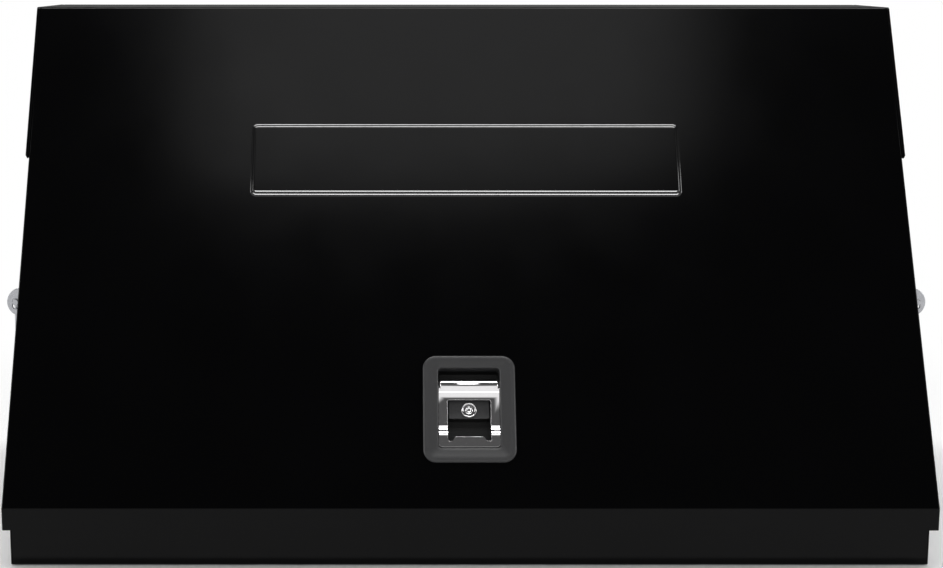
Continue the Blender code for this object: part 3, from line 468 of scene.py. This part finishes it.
def bent_line(points, radius, steps):
    """A 2-D line whose corners are turned into arcs of the radius."""
    path = [Vector(points[0])]
    for before, corner, after in zip(points, points[1:], points[2:]):
        here = Vector(corner)
        back = (Vector(before) - here).normalized()
        ahead = (Vector(after) - here).normalized()
        half = back.angle(ahead) / 2
        centre = here + (back + ahead).normalized() * radius / math.sin(half)
        first = here + back * radius / math.tan(half) - centre
        last = here + ahead * radius / math.tan(half) - centre
        turn = math.copysign(math.pi - 2 * half, first.cross(last))
        path += [centre + Matrix.Rotation(turn * i / steps, 2) @ first for i in range(steps + 1)]
    path.append(Vector(points[-1]))
    return path


def sheet_section(points, thickness, radius, side, steps):
    """Closed outline of a bent sheet, with its body left of the line for side 1, right for -1."""
    outer = [Vector(points[0])]
    inner = []
    last = len(points) - 1
    for i, point in enumerate(points):
        here = Vector(point)
        before = (here - Vector(points[i - 1])).normalized() if i else None
        after = (Vector(points[i + 1]) - here).normalized() if i < last else None
        along = after or before
        across = Vector((-along.y, along.x)) * side
        if before is None or after is None:
            if i:
                outer.append(here)
            inner.append(here + across * thickness)
            continue
        turn = before.cross(after)
        inward = Vector((-before.y, before.x)) * side
        closes = 1 if turn * side > 0 else -1
        face_radius = radius if closes > 0 else radius - thickness
        angle = before.angle(after)
        centre = here - before * face_radius * math.tan(angle / 2) + inward * closes * face_radius
        for step in range(steps + 1):
            turned = Matrix.Rotation(math.copysign(angle * step / steps, turn), 2)
            radial = turned @ (inward * -closes)
            outer.append(centre + radial * face_radius)
            inner.append(centre + radial * (face_radius - closes * thickness))
    return [tuple(p) for p in outer + inner[::-1]]


def ogee(start, end, steps):
    """A smooth S from one point to the other, level at both."""
    points = []
    for i in range(steps + 1):
        share = i / steps
        smooth = share * share * (3 - 2 * share)
        across = start[0] + (end[0] - start[0]) * share
        points.append(Vector((across, start[1] + (end[1] - start[1]) * smooth)))
    return points


def thickened(line, thickness):
    """Closed outline of a sheet whose outer face is the line, with its body to the line's right."""
    inner = []
    for i, here in enumerate(line):
        before = (here - line[i - 1]).normalized() if i else None
        after = (line[i + 1] - here).normalized() if i + 1 < len(line) else before
        # The inner face's corner lies on the bisector of the outer face's
        along = ((before or after) + after).normalized()
        inner.append(here + Vector((along.y, -along.x)) * thickness / along.dot(after))
    return [tuple(p) for p in line + inner[::-1]]


def add_prism(shape, outline, low, high, axis="X"):
    """A closed prism: the outline lies across the axis, in the order of the two other axes."""

    def place(first, second, along):
        if axis == "X":
            return (along, first, second)
        if axis == "Y":
            return (first, along, second)
        return (first, second, along)

    bottom = [shape.verts.new(place(a, b, low)) for a, b in outline]
    top = [shape.verts.new(place(a, b, high)) for a, b in outline]
    shape.faces.new(bottom)
    shape.faces.new(top)
    for i in range(len(outline)):
        j = (i + 1) % len(outline)
        shape.faces.new((bottom[i], bottom[j], top[j], top[i]))


def add_loft(shape, rings, cap_first=False, cap_last=False):
    """Skins closed rings of equal length."""
    layers = [[shape.verts.new(p) for p in ring] for ring in rings]
    count = len(layers[0])
    for low, high in zip(layers, layers[1:]):
        for i in range(count):
            j = (i + 1) % count
            shape.faces.new((low[i], low[j], high[j], high[i]))
    if cap_first:
        shape.faces.new(layers[0])
    if cap_last:
        shape.faces.new(layers[-1])


def add_lathe(shape, profile, steps, place, closed=False):
    """A solid of revolution about Z, then placed. An open profile starts and ends on its axis."""
    rings = []
    for radius, height in profile:
        count = steps if radius > 0 else 1
        ring = []
        for i in range(count):
            angle = math.tau * i / steps
            at = Vector((radius * math.cos(angle), radius * math.sin(angle), height))
            ring.append(shape.verts.new(place @ at))
        rings.append(ring)
    pairs = list(zip(rings, rings[1:]))
    if closed:
        pairs.append((rings[-1], rings[0]))
    for low, high in pairs:
        for i in range(steps):
            j = (i + 1) % steps
            lower = (low[i % len(low)], low[j % len(low)])
            upper = (high[j % len(high)], high[i % len(high)])
            shape.faces.new(list(dict.fromkeys(lower + upper)))


def to_object(shape, name, sharp=30):
    """Turns a bmesh into an object, smooth up to the angle in degrees."""
    bmesh.ops.remove_doubles(shape, verts=shape.verts[:], dist=1e-6)
    bmesh.ops.recalc_face_normals(shape, faces=shape.faces[:])
    mesh = bpy.data.meshes.new(name)
    shape.to_mesh(mesh)
    shape.free()
    mesh.shade_smooth()
    mesh.set_sharp_from_angle(angle=math.radians(sharp))
    made = bpy.data.objects.new(name, mesh)
    bpy.context.scene.collection.objects.link(made)
    return made


def settle(piece):
    """Bakes the piece's modifiers into its mesh."""
    bpy.context.view_layer.update()
    graph = bpy.context.evaluated_depsgraph_get()
    baked = bpy.data.meshes.new_from_object(piece.evaluated_get(graph))
    piece.modifiers.clear()
    piece.data = baked


def carve(piece, helper, operation="DIFFERENCE"):
    """Cuts the piece by the helper, which is used up."""
    modifier = piece.modifiers.new("Carve", "BOOLEAN")
    modifier.operation = operation
    modifier.solver = "EXACT"
    modifier.object = helper
    settle(piece)
    bpy.data.objects.remove(helper, do_unlink=True)


def soften(piece, width, segments):
    """Rounds the piece's sharp edges, as a real edge is."""
    bevel = piece.modifiers.new("Soften", "BEVEL")
    bevel.width = width
    bevel.segments = segments
    bevel.limit_method = "ANGLE"
    bevel.angle_limit = math.radians(38)
    bevel.harden_normals = True
    settle(piece)


def flatten_shading(piece):
    """Weights the normals by face area, so that flat sheet shades flat beside its bends."""
    weighted = piece.modifiers.new("Flat", "WEIGHTED_NORMAL")
    weighted.keep_sharp = True
    weighted.weight = 100
    settle(piece)


def join(first, *others):
    """Adds the other objects' meshes to the first one's, in place."""
    shape = bmesh.new()
    for piece in (first, *others):
        mesh = piece.data.copy()
        mesh.transform(piece.matrix_world)
        shape.from_mesh(mesh)
    for piece in others:
        bpy.data.objects.remove(piece, do_unlink=True)
    shape.to_mesh(first.data)
    shape.free()
    first.matrix_world = Matrix.Identity(4)
    return first


def dress(piece, slot, body, *replaced):
    """Gives a piece its finish and its body, and hides the CAD nodes that it stands for."""
    piece.data.materials.clear()
    piece.data.materials.append(FINISHES[slot])
    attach(piece, body)
    if replaced:
        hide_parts(*replaced)
    return piece


def on_slope(piece):
    piece.data.transform(SLOPE)
    return piece


# Lid


def lid_profile(inset):
    """The lid's outer line, moved inwards: from the lip over the slope and top to the rear."""
    slope_low = slope_line(-inset, y=FRONT_Y + inset)
    slope_high = slope_line(-inset, z=HEIGHT - inset)
    points = [
        (FRONT_Y + inset, LIP_Z),
        slope_low,
        slope_high,
        (BACK_Y - inset, HEIGHT - inset),
        (BACK_Y - inset, LID_REAR_Z),
    ]
    return bent_line(points, LID_BEND - inset, 10)


def skirt_edge(point):
    """The point of the skirt's free edge that lies inwards from a point of the lid's section."""
    low = Vector(slope_line(-SKIRT_DEPTH, z=LIP_Z))
    high = Vector(slope_line(-SKIRT_DEPTH, z=LID_REAR_Z))
    if point.x >= high.x:
        return Vector((point.x, LID_REAR_Z))
    share = (point - low).dot(ALONG) / (high - low).length
    return low.lerp(high, min(max(share, 0.0), 1.0))


def make_lid_shell():
    """Lip, slope, top, rear flange and side skirts of one folded sheet."""
    stations = []
    for side in (-1, 1):
        rounds = []
        for step in range(SIDE_ROUND_STEPS + 1):
            angle = math.radians(90 * step / SIDE_ROUND_STEPS)
            inset = SIDE_ROUND * (1 - math.sin(angle))
            x = HALF_LID - SIDE_ROUND * (1 - math.cos(angle))
            rounds.append((side * x, lid_profile(inset)))
        edge = [skirt_edge(p) for p in rounds[0][1]]
        stations += ([(side * HALF_LID, edge)] + rounds)[::-side]
    shape = bmesh.new()
    rows = [[shape.verts.new((x, *p)) for p in line] for x, line in stations]
    for first, second in zip(rows, rows[1:]):
        for i in range(len(first) - 1):
            corners = (first[i], first[i + 1], second[i + 1], second[i])
            if len({tuple(round(c, 7) for c in v.co) for v in corners}) > 2:
                shape.faces.new(corners)
    lid = to_object(shape, "lid_shell", 35)
    if lid.data.polygons[0].normal.x > 0:
        lid.data.flip_normals()
    solid = lid.modifiers.new("Sheet", "SOLIDIFY")
    solid.thickness = LID_SHEET
    solid.offset = -1
    solid.use_even_offset = True
    settle(lid)
    opening = bmesh.new()
    size = [side + 2 * PAN_WALL + PAN_PLAY for side in MOUTH]
    outline = rounded_rectangle((0, MOUTH_U), *size, MOUTH_RADIUS + PAN_WALL)
    add_prism(opening, outline, *MOUTH_CUT_N, "Z")
    carve(lid, on_slope(to_object(opening, "lid_opening")))
    flatten_shading(lid)
    dress(lid, "gloss_black", "lid", "lid_panel")


def make_field_frame():
    """Pressed frame round the plain field: two low ridges side by side, wider along the bottom."""
    low, high = FIELD_U
    shape = bmesh.new()
    rings = []
    for i in range(4 * RIDGE_STEPS + 1):
        share = i / (4 * RIDGE_STEPS)
        inset = share * FIELD_BEAD
        middle = (0, sum(FIELD_U) / 2 + FIELD_WIDEN * inset)
        size = (FIELD_WIDTH - 2 * inset, high - low - 2 * inset * (1 + FIELD_WIDEN))
        radius = max(FIELD_RADIUS - inset, FIELD_INNER_RADIUS)
        ring = []
        for x, u in rounded_rectangle(middle, *size, radius, 10):
            gain = 1 + FIELD_LOW_GAIN * (high - u) / (high - low)
            ring.append((x, u, ridge_height(share) * gain))
        rings.append(ring)
    add_loft(shape, rings)
    bead = on_slope(to_object(shape, "lid_field_frame", 60))
    dress(bead, "gloss_black", "lid")
    bead.data.materials[0] = bead_with_painted_highlight()


def ridge_height(share):
    """Height across the frame: two ridges with nearly flat flanks and rounded crowns."""
    flank = abs(2 * share % 1 - 0.5) * 2
    slant = math.sqrt(flank * flank + CROWN_ROUNDING * CROWN_ROUNDING)
    rise = 1 - slant + CROWN_ROUNDING * (1 - flank)
    return rise * FIELD_RISE - FIELD_SINK


def make_cheeks():
    """Gusset plates over the lid's upper sides."""
    for side, label in ((-1, "left"), (1, "right")):
        low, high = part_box(f"lid_cheek_{label}")
        bottom = low.z
        front = slope_line(0, z=bottom)
        points = [front, (TOP_FRONT_Y, HEIGHT), (BACK_Y, HEIGHT), (BACK_Y, bottom)]
        outline = [tuple(p) for p in bent_line(points, LID_BEND, 6)]
        shape = bmesh.new()
        add_prism(shape, outline, low.x, high.x)
        cheek = to_object(shape, f"lid_cheek_plate_{label}")
        outer = side * max(abs(low.x), abs(high.x))
        inner = side * min(abs(low.x), abs(high.x))
        wedge = [
            (outer + side * WEDGE_MARGIN, bottom - WEDGE_MARGIN),
            (outer + side * WEDGE_MARGIN, bottom + WEDGE_RISE),
            (inner + side * WEDGE_IN, bottom - WEDGE_MARGIN),
        ]
        cutter = bmesh.new()
        add_prism(cutter, wedge, *WEDGE_Y, "Y")
        carve(cheek, to_object(cutter, "cheek_wedge"))
        soften(cheek, SHEET_EDGE, 2)
        dress(cheek, "gloss_black", "lid", f"lid_cheek_{label}")


# Case


def make_case_shell():
    """Front wall, floor and back wall of one bent sheet."""
    rim_corner = slope_line(-RIM_DEPTH, y=CASE_FRONT_Y)
    flange_tip = tuple(Vector(rim_corner) + ALONG * RIM_FLANGE)
    rim_z = HEIGHT - RIM_DEPTH
    upper_y = BACK_Y - LID_SHEET - REAR_PLAY
    line = [
        flange_tip,
        rim_corner,
        (CASE_FRONT_Y, 0),
        (BACK_Y, 0),
        (BACK_Y, CASE_JOG[0]),
        (upper_y, CASE_JOG[1]),
        (upper_y, rim_z),
        (upper_y - RIM_FLANGE, rim_z),
    ]
    half = HALF_CASE - CASE_SHEET - GAP
    shape = bmesh.new()
    add_prism(shape, sheet_section(line, CASE_SHEET, CASE_BEND, 1, 8), -half, half)
    case = to_object(shape, "case_shell", 35)
    flatten_shading(case)
    dress(case, "gloss_black", "case", "case_wrap")


# Latch


def make_bezel():
    """Cast bezel with a rounded rim and a shallow inner slope, and the pan behind it."""
    rings = []
    for inset, height in BEZEL_RIM:
        size = [side - 2 * inset for side in BEZEL]
        outline = rounded_rectangle((0, LATCH_U), *size, BEZEL_RADIUS - inset)
        rings.append([(x, u, height) for x, u in outline])
    for grow, height in BEZEL_MOUTH:
        size = [side + 2 * grow for side in MOUTH]
        outline = rounded_rectangle((0, MOUTH_U), *size, MOUTH_RADIUS + grow)
        rings.append([(x, u, height) for x, u in outline])
    shape = bmesh.new()
    add_loft(shape, rings, cap_last=True)
    bezel = to_object(shape, "latch_bezel", 50)

    back = bmesh.new()
    size = [side + 2 * PAN_WALL for side in MOUTH]
    pan = rounded_rectangle((0, MOUTH_U), *size, MOUTH_RADIUS + PAN_WALL)
    rim = rounded_rectangle((0, LATCH_U), *BEZEL, BEZEL_RADIUS)
    levels = [(rim, GAP), (pan, GAP), (pan, PAN_EDGE - PAN_DEPTH), (pan, -PAN_DEPTH)]
    add_loft(back, [[(x, u, n) for x, u in outline] for outline, n in levels], cap_last=True)
    body = to_object(back, "latch_pan")

    step = bmesh.new()
    outline = rounded_rectangle((0, LOCK_STEP_U), *LOCK_STEP, LOCK_STEP_RADIUS, 4)
    add_prism(step, outline, *LOCK_STEP_N, "Z")
    plate = to_object(step, "latch_step")
    soften(plate, CAST_EDGE, 3)
    dish = join(bezel, body, plate)
    dress(on_slope(dish), "grey_casting", "lid", "latch_dish")


def make_lock():
    """Lock housing with a rolled face, and the plug with its keyway."""
    place = SLOPE @ Matrix.Translation((0, LOCK_U, 0))
    face = LOCK_FACE_N
    # Both profiles are (radius, height), rounded at the face by fractions of a millimetre
    ring = [
        (LOCK_RADIUS - 0.0016, face - 0.0008),
        (LOCK_RADIUS - 0.0013, face - 0.0002),
        (LOCK_RADIUS - 0.0009, face),
        (LOCK_RADIUS - 0.0004, face),
        (LOCK_RADIUS, face - 0.0004),
        (LOCK_RADIUS, HOUSING_BACK_N),
        (PLUG_RADIUS + GAP, HOUSING_BACK_N),
    ]
    shape = bmesh.new()
    add_lathe(shape, ring, 48, place, closed=True)
    dress(to_object(shape, "lock_ring", 50), "chrome", "lid", "lock_housing")

    plug_profile = [
        (0, PLUG_BACK_N),
        (PLUG_RADIUS, PLUG_BACK_N),
        (PLUG_RADIUS, face - 0.0016),
        (PLUG_RADIUS - 0.0003, face - 0.0013),
        (PLUG_RADIUS - 0.0011, face - 0.0013),
        (PLUG_RADIUS - 0.0013, face - 0.0016),
        (0.0041, face - 0.0016),
        (0.0038, face - 0.0008),
        (0.0035, face - 0.0006),
        (0, face - 0.0006),
    ]
    shape = bmesh.new()
    add_lathe(shape, plug_profile, 48, Matrix.Translation((0, LOCK_U, 0)))
    plug = to_object(shape, "lock_core", 40)
    key = bmesh.new()
    add_prism(key, [(x, LOCK_U + u) for x, u in KEYWAY], *KEYWAY_N, "Z")
    carve(plug, to_object(key, "keyway"))
    dress(on_slope(plug), "chrome", "lock", "lock_plug")


def window_outline():
    """The paddle's window, with a rounded notch at each end of its lower edge."""
    half = WINDOW_WIDTH / 2
    low, high = WINDOW_U
    corner = 0.0018
    notch_depth = 0.0046
    notch_radius = 0.0029
    notch_u = low - notch_depth + notch_radius
    rail_half = 0.0156
    lip = 0.0010
    points = arc((half - corner, high - corner), corner, 0, 90, 5)
    points += arc((corner - half, high - corner), corner, 90, 180, 5)
    points += arc((notch_radius - half, notch_u), notch_radius, 180, 330, 8)
    points += [(-rail_half + lip, low - lip * 0.6), (-rail_half + 2.2 * lip, low)]
    points += [(rail_half - 2.2 * lip, low), (rail_half - lip, low - lip * 0.6)]
    points += arc((half - notch_radius, notch_u), notch_radius, 210, 360, 8)
    return points


def pivot_block(name, span_x, span_n, half_u):
    """A block placed from the lever's pivot."""
    outline = [(span_x[0], span_n[0]), (span_x[1], span_n[0])]
    outline += [(span_x[1], span_n[1]), (span_x[0], span_n[1])]
    shape = bmesh.new()
    add_prism(shape, outline, -half_u, half_u, "Y")
    block = to_object(shape, name)
    block.data.transform(Matrix.Translation((0, *PADDLE_PIVOT)))
    return block


def make_lever_plate():
    """Two legs with an S-bend and a lower rail, of one folded sheet with a window."""
    pivot_u, pivot_n = PADDLE_PIVOT
    half = PADDLE_WIDTH / 2
    upper = pivot_n + LEG_HIGH_N
    lower = pivot_n + LEG_LOW_N
    line = [Vector((PADDLE_LOW_U, lower - LIP_FOLD)), Vector((PADDLE_LOW_U, lower))]
    bend = [WINDOW_U[0] + u for u in S_BEND_U]
    line += ogee((bend[0], lower), (bend[1], upper), 20)
    line += [Vector((pivot_u + u, upper + n)) for u, n in BARREL_RAMP]
    shape = bmesh.new()
    add_prism(shape, thickened(line, PADDLE_SHEET), -half, half)
    plate = to_object(shape, "latch_lever")
    corners = bmesh.new()
    reach = pivot_u + LEG_TOP_U - PADDLE_LOW_U
    middle = (0, PADDLE_LOW_U + reach / 2)
    outline = rounded_rectangle(middle, PADDLE_WIDTH, reach, MOUTH_RADIUS - LEVER_PLAY)
    add_prism(corners, outline, -CUT_REACH, CUT_REACH, "Z")
    carve(plate, to_object(corners, "lever_corners"), "INTERSECT")
    window = bmesh.new()
    add_prism(window, window_outline(), -CUT_REACH, CUT_REACH, "Z")
    carve(plate, to_object(window, "lever_window"))
    soften(plate, LEVER_EDGE, 4)
    return plate


def make_lever_barrel():
    """Barrel with chamfered ends round the pin, notched for the spring."""
    half = PADDLE_WIDTH / 2
    ends = []
    for sign in (-1, 1):
        end = [
            (PIN_RADIUS, half),
            (PADDLE_BARREL - BARREL_CHAMFER, half),
            (PADDLE_BARREL - BARREL_ROUND, half - BARREL_CHAMFER + 0.0004),
            (PADDLE_BARREL, half - BARREL_CHAMFER - BARREL_ROUND),
        ]
        ends += [(radius, sign * along) for radius, along in end[::-sign]]
    shape = bmesh.new()
    place = Matrix.Translation((0, *PADDLE_PIVOT)) @ Matrix.Rotation(math.radians(90), 4, "Y")
    add_lathe(shape, ends, 64, place, closed=True)
    barrel = to_object(shape, "lever_barrel", 40)
    carve(barrel, pivot_block("lever_notch", *SPRING_NOTCH))
    return barrel


def make_paddle():
    """Chromed flip lever: plate, barrel and the tail that turns the rocker."""
    plate = make_lever_plate()
    barrel = make_lever_barrel()
    tail = pivot_block("lever_tail", *TAIL)
    soften(tail, TAIL_EDGE, 2)
    paddle = join(plate, barrel, tail)
    dress(on_slope(paddle), "chrome", "paddle", "latch_paddle")


# Side handles


def make_handles():
    for side, label in ((-1, "left"), (1, "right")):
        make_bracket(side, label)
        make_grip(label)


def make_bracket(side, label):
    """Plate with two ears slotted for the bail's ends."""
    low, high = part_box(f"handle_bracket_{label}")
    foot_x = side * min(abs(low.x), abs(high.x))
    tip_x = side * max(abs(low.x), abs(high.x))
    middle_y = (low.y + high.y) / 2
    middle_z = (low.z + high.z) / 2
    shape = bmesh.new()
    size = (high.y - low.y - BRACKET_PLAY, high.z - low.z)
    outline = rounded_rectangle((middle_y, middle_z), *size, BRACKET_RADIUS, 6)
    add_prism(shape, outline, *sorted((foot_x, foot_x + side * BRACKET_SHEET)))
    plate = to_object(shape, f"handle_plate_{label}")
    soften(plate, SHEET_EDGE, 2)

    centre = tip_x - side * (EAR_REACH + EAR_INSET)
    rim = []
    for i in range(EAR_STEPS + 1):
        angle = math.radians(-90 + 180 * i / EAR_STEPS)
        across = centre + side * EAR_REACH * math.cos(angle)
        rim.append((across, middle_z + EAR_RADIUS * math.sin(angle)))
    root = [(foot_x, middle_z + EAR_RADIUS), (foot_x, middle_z - EAR_RADIUS)]
    slot_place = (side * BAIL_X, middle_z - BAIL_SLOT_DROP)
    slot_outline = rounded_rectangle(slot_place, *BAIL_SLOT, BAIL_SLOT_RADIUS)
    ears = []
    for y in (low.y, high.y - EAR_SHEET):
        shape = bmesh.new()
        add_prism(shape, rim + root, y, y + EAR_SHEET, "Y")
        ear = to_object(shape, "ear")
        slot = bmesh.new()
        add_prism(slot, slot_outline, *(y + reach for reach in BAIL_SLOT_Y), "Y")
        carve(ear, to_object(slot, "slot"))
        soften(ear, CAST_EDGE, 3)
        ears.append(ear)
    bracket = join(plate, *ears)
    dress(bracket, "zinc", "case", f"handle_bracket_{label}")


def make_grip(label):
    """Ribbed rubber grip on the bail's lower run."""
    low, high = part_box(f"handle_grip_{label}")
    radius = (high.z - low.z) / 2
    length = high.y - low.y
    rim = [(radius - drop, along) for drop, along in GRIP_RIM]
    profile = [(BAIL_RADIUS, 0.0)] + rim
    pitch = (length - 2 * GRIP_END) / GRIP_RIBS
    for i in range(GRIP_RIBS):
        start = GRIP_END + i * pitch
        for share, drop in GRIP_GROOVE:
            profile.append((radius - drop, start + share * pitch * GRIP_GROOVE_SHARE))
    profile += [(r, length - along) for r, along in rim[::-1]] + [(BAIL_RADIUS, length)]
    place = Matrix.Translation(((low.x + high.x) / 2, low.y, (low.z + high.z) / 2))
    shape = bmesh.new()
    add_lathe(shape, profile, 32, place @ Matrix.Rotation(math.radians(-90), 4, "X"), closed=True)
    sleeve = to_object(shape, f"handle_sleeve_{label}", 40)
    dress(sleeve, "rubber", f"bail_{label}", f"handle_grip_{label}")


# Stage


def make_camera():
    lens = bpy.data.cameras.new("camera")
    lens.sensor_width = 36
    lens.lens = FOCAL_PIXELS * lens.sensor_width / IMAGE_WIDTH
    lens.shift_x = (IMAGE_WIDTH / 2 - CENTRE_X) / IMAGE_WIDTH
    camera = bpy.data.objects.new("camera", lens)
    camera.location = CAMERA_PLACE
    yaw = Matrix.Rotation(math.radians(-CAMERA_YAW), 4, "Z")
    pitch = Matrix.Rotation(math.radians(90 - CAMERA_PITCH), 4, "X")
    roll = Matrix.Rotation(math.radians(CAMERA_ROLL), 4, "Z")
    camera.rotation_euler = (yaw @ pitch @ roll).to_euler()
    bpy.context.scene.collection.objects.link(camera)
    bpy.context.scene.camera = camera


def make_world():
    """A pale studio: white near the horizon, a soft box high in front and dim between them."""
    world = bpy.data.worlds.new("studio")
    bpy.context.scene.world = world
    world.use_nodes = True
    tree = world.node_tree
    place = tree.nodes.new("ShaderNodeTexCoord")
    split = tree.nodes.new("ShaderNodeSeparateXYZ")
    tree.links.new(place.outputs["Generated"], split.inputs[0])
    across, along, up = split.outputs
    horizon = mapped(tree, up, *HORIZON_FADE, 1.0, SKY_LEVEL, smooth=True)
    soft_box = combined(
        tree,
        "MULTIPLY",
        mapped(tree, up, *SOFT_BOX_UP, 0.0, SOFT_BOX_LEVEL, smooth=True),
        mapped(tree, across, *SOFT_BOX_LEFT, 0.0, 1.0, smooth=True),
        mapped(tree, across, *SOFT_BOX_RIGHT, 1.0, 0.0, smooth=True),
        mapped(tree, along, *SOFT_BOX_FRONT, 1.0, 0.0, smooth=True),
    )
    path = tree.nodes.new("ShaderNodeLightPath")
    level = combined(tree, "MAXIMUM", horizon, soft_box, path.outputs["Is Camera Ray"])
    background = tree.nodes["Background"]
    background.inputs["Color"].default_value = (1.0, 1.0, 1.0, 1.0)
    tree.links.new(level, background.inputs["Strength"])


def seen_directly(tree):
    """1 for camera, glossy and transmission rays."""
    path = tree.nodes.new("ShaderNodeLightPath")
    rays = [path.outputs[f"Is {kind} Ray"] for kind in ("Camera", "Glossy", "Transmission")]
    return combined(tree, "MAXIMUM", *rays)


def make_floor():
    """Pale floor that keeps the object's shadow and turns to plain white further out."""
    shape = bmesh.new()
    bmesh.ops.create_circle(shape, cap_ends=True, segments=96, radius=FLOOR_RADIUS)
    floor = to_object(shape, "floor")
    floor.location.z = -FLOOR_DROP
    made = bpy.data.materials.new("floor")
    made.use_nodes = True
    tree = made.node_tree
    shader = tree.nodes["Principled BSDF"]
    shader.inputs["Base Color"].default_value = (0.90, 0.90, 0.90, 1.0)
    shader.inputs["Roughness"].default_value = 0.9
    shader.inputs["Specular IOR Level"].default_value = 0.1
    place = tree.nodes.new("ShaderNodeTexCoord")
    length = tree.nodes.new("ShaderNodeVectorMath")
    length.operation = "LENGTH"
    tree.links.new(place.outputs["Object"], length.inputs[0])
    further = mapped(tree, length.outputs["Value"], *FLOOR_GLOW, 0.0, 1.0, smooth=True)
    glow = tree.nodes.new("ShaderNodeEmission")
    mix = tree.nodes.new("ShaderNodeMixShader")
    tree.links.new(combined(tree, "MULTIPLY", further, seen_directly(tree)), mix.inputs[0])
    tree.links.new(shader.outputs[0], mix.inputs[1])
    tree.links.new(glow.outputs[0], mix.inputs[2])
    tree.links.new(mix.outputs[0], tree.nodes["Material Output"].inputs["Surface"])
    floor.data.materials.append(made)


def make_lamp(name, place, target, size, watts):
    data = bpy.data.lights.new(name, "AREA")
    data.shape = "RECTANGLE"
    data.size = size[0]
    data.size_y = size[1]
    data.energy = watts
    lamp = bpy.data.objects.new(name, data)
    lamp.location = place
    lamp.rotation_euler = (Vector(target) - Vector(place)).to_track_quat("-Z", "Y").to_euler()
    bpy.context.scene.collection.objects.link(lamp)


def make_lamps():
    make_lamp("overhead", (0.0, 0.05, 2.6), (0.0, 0.05, 0.0), (2.6, 0.30), OVERHEAD_WATTS)
    for name, side in (("side_left", -1), ("side_right", 1)):
        make_lamp(name, (side * 2.4, -0.8, 1.1), (0.0, 0.0, 0.25), (0.6, 1.6), SIDE_WATTS)


def dress_frame_nodes():
    """The CAD nodes that stay get the finish of their material slot."""
    for part in frame["record"]["subparts"]:
        node = frame["nodes"][part["node"]]
        node.data.materials.clear()
        node.data.materials.append(FINISHES[part["material_slot"]])
        node.data.shade_smooth()
        node.data.set_sharp_from_angle(angle=math.radians(30))


def main():
    make_camera()
    dress_frame_nodes()
    make_lid_shell()
    make_field_frame()
    make_cheeks()
    make_case_shell()
    make_bezel()
    make_lock()
    make_paddle()
    make_handles()
    make_world()
    make_floor()
    make_lamps()
    bpy.context.scene.view_settings.view_transform = "Standard"


main()
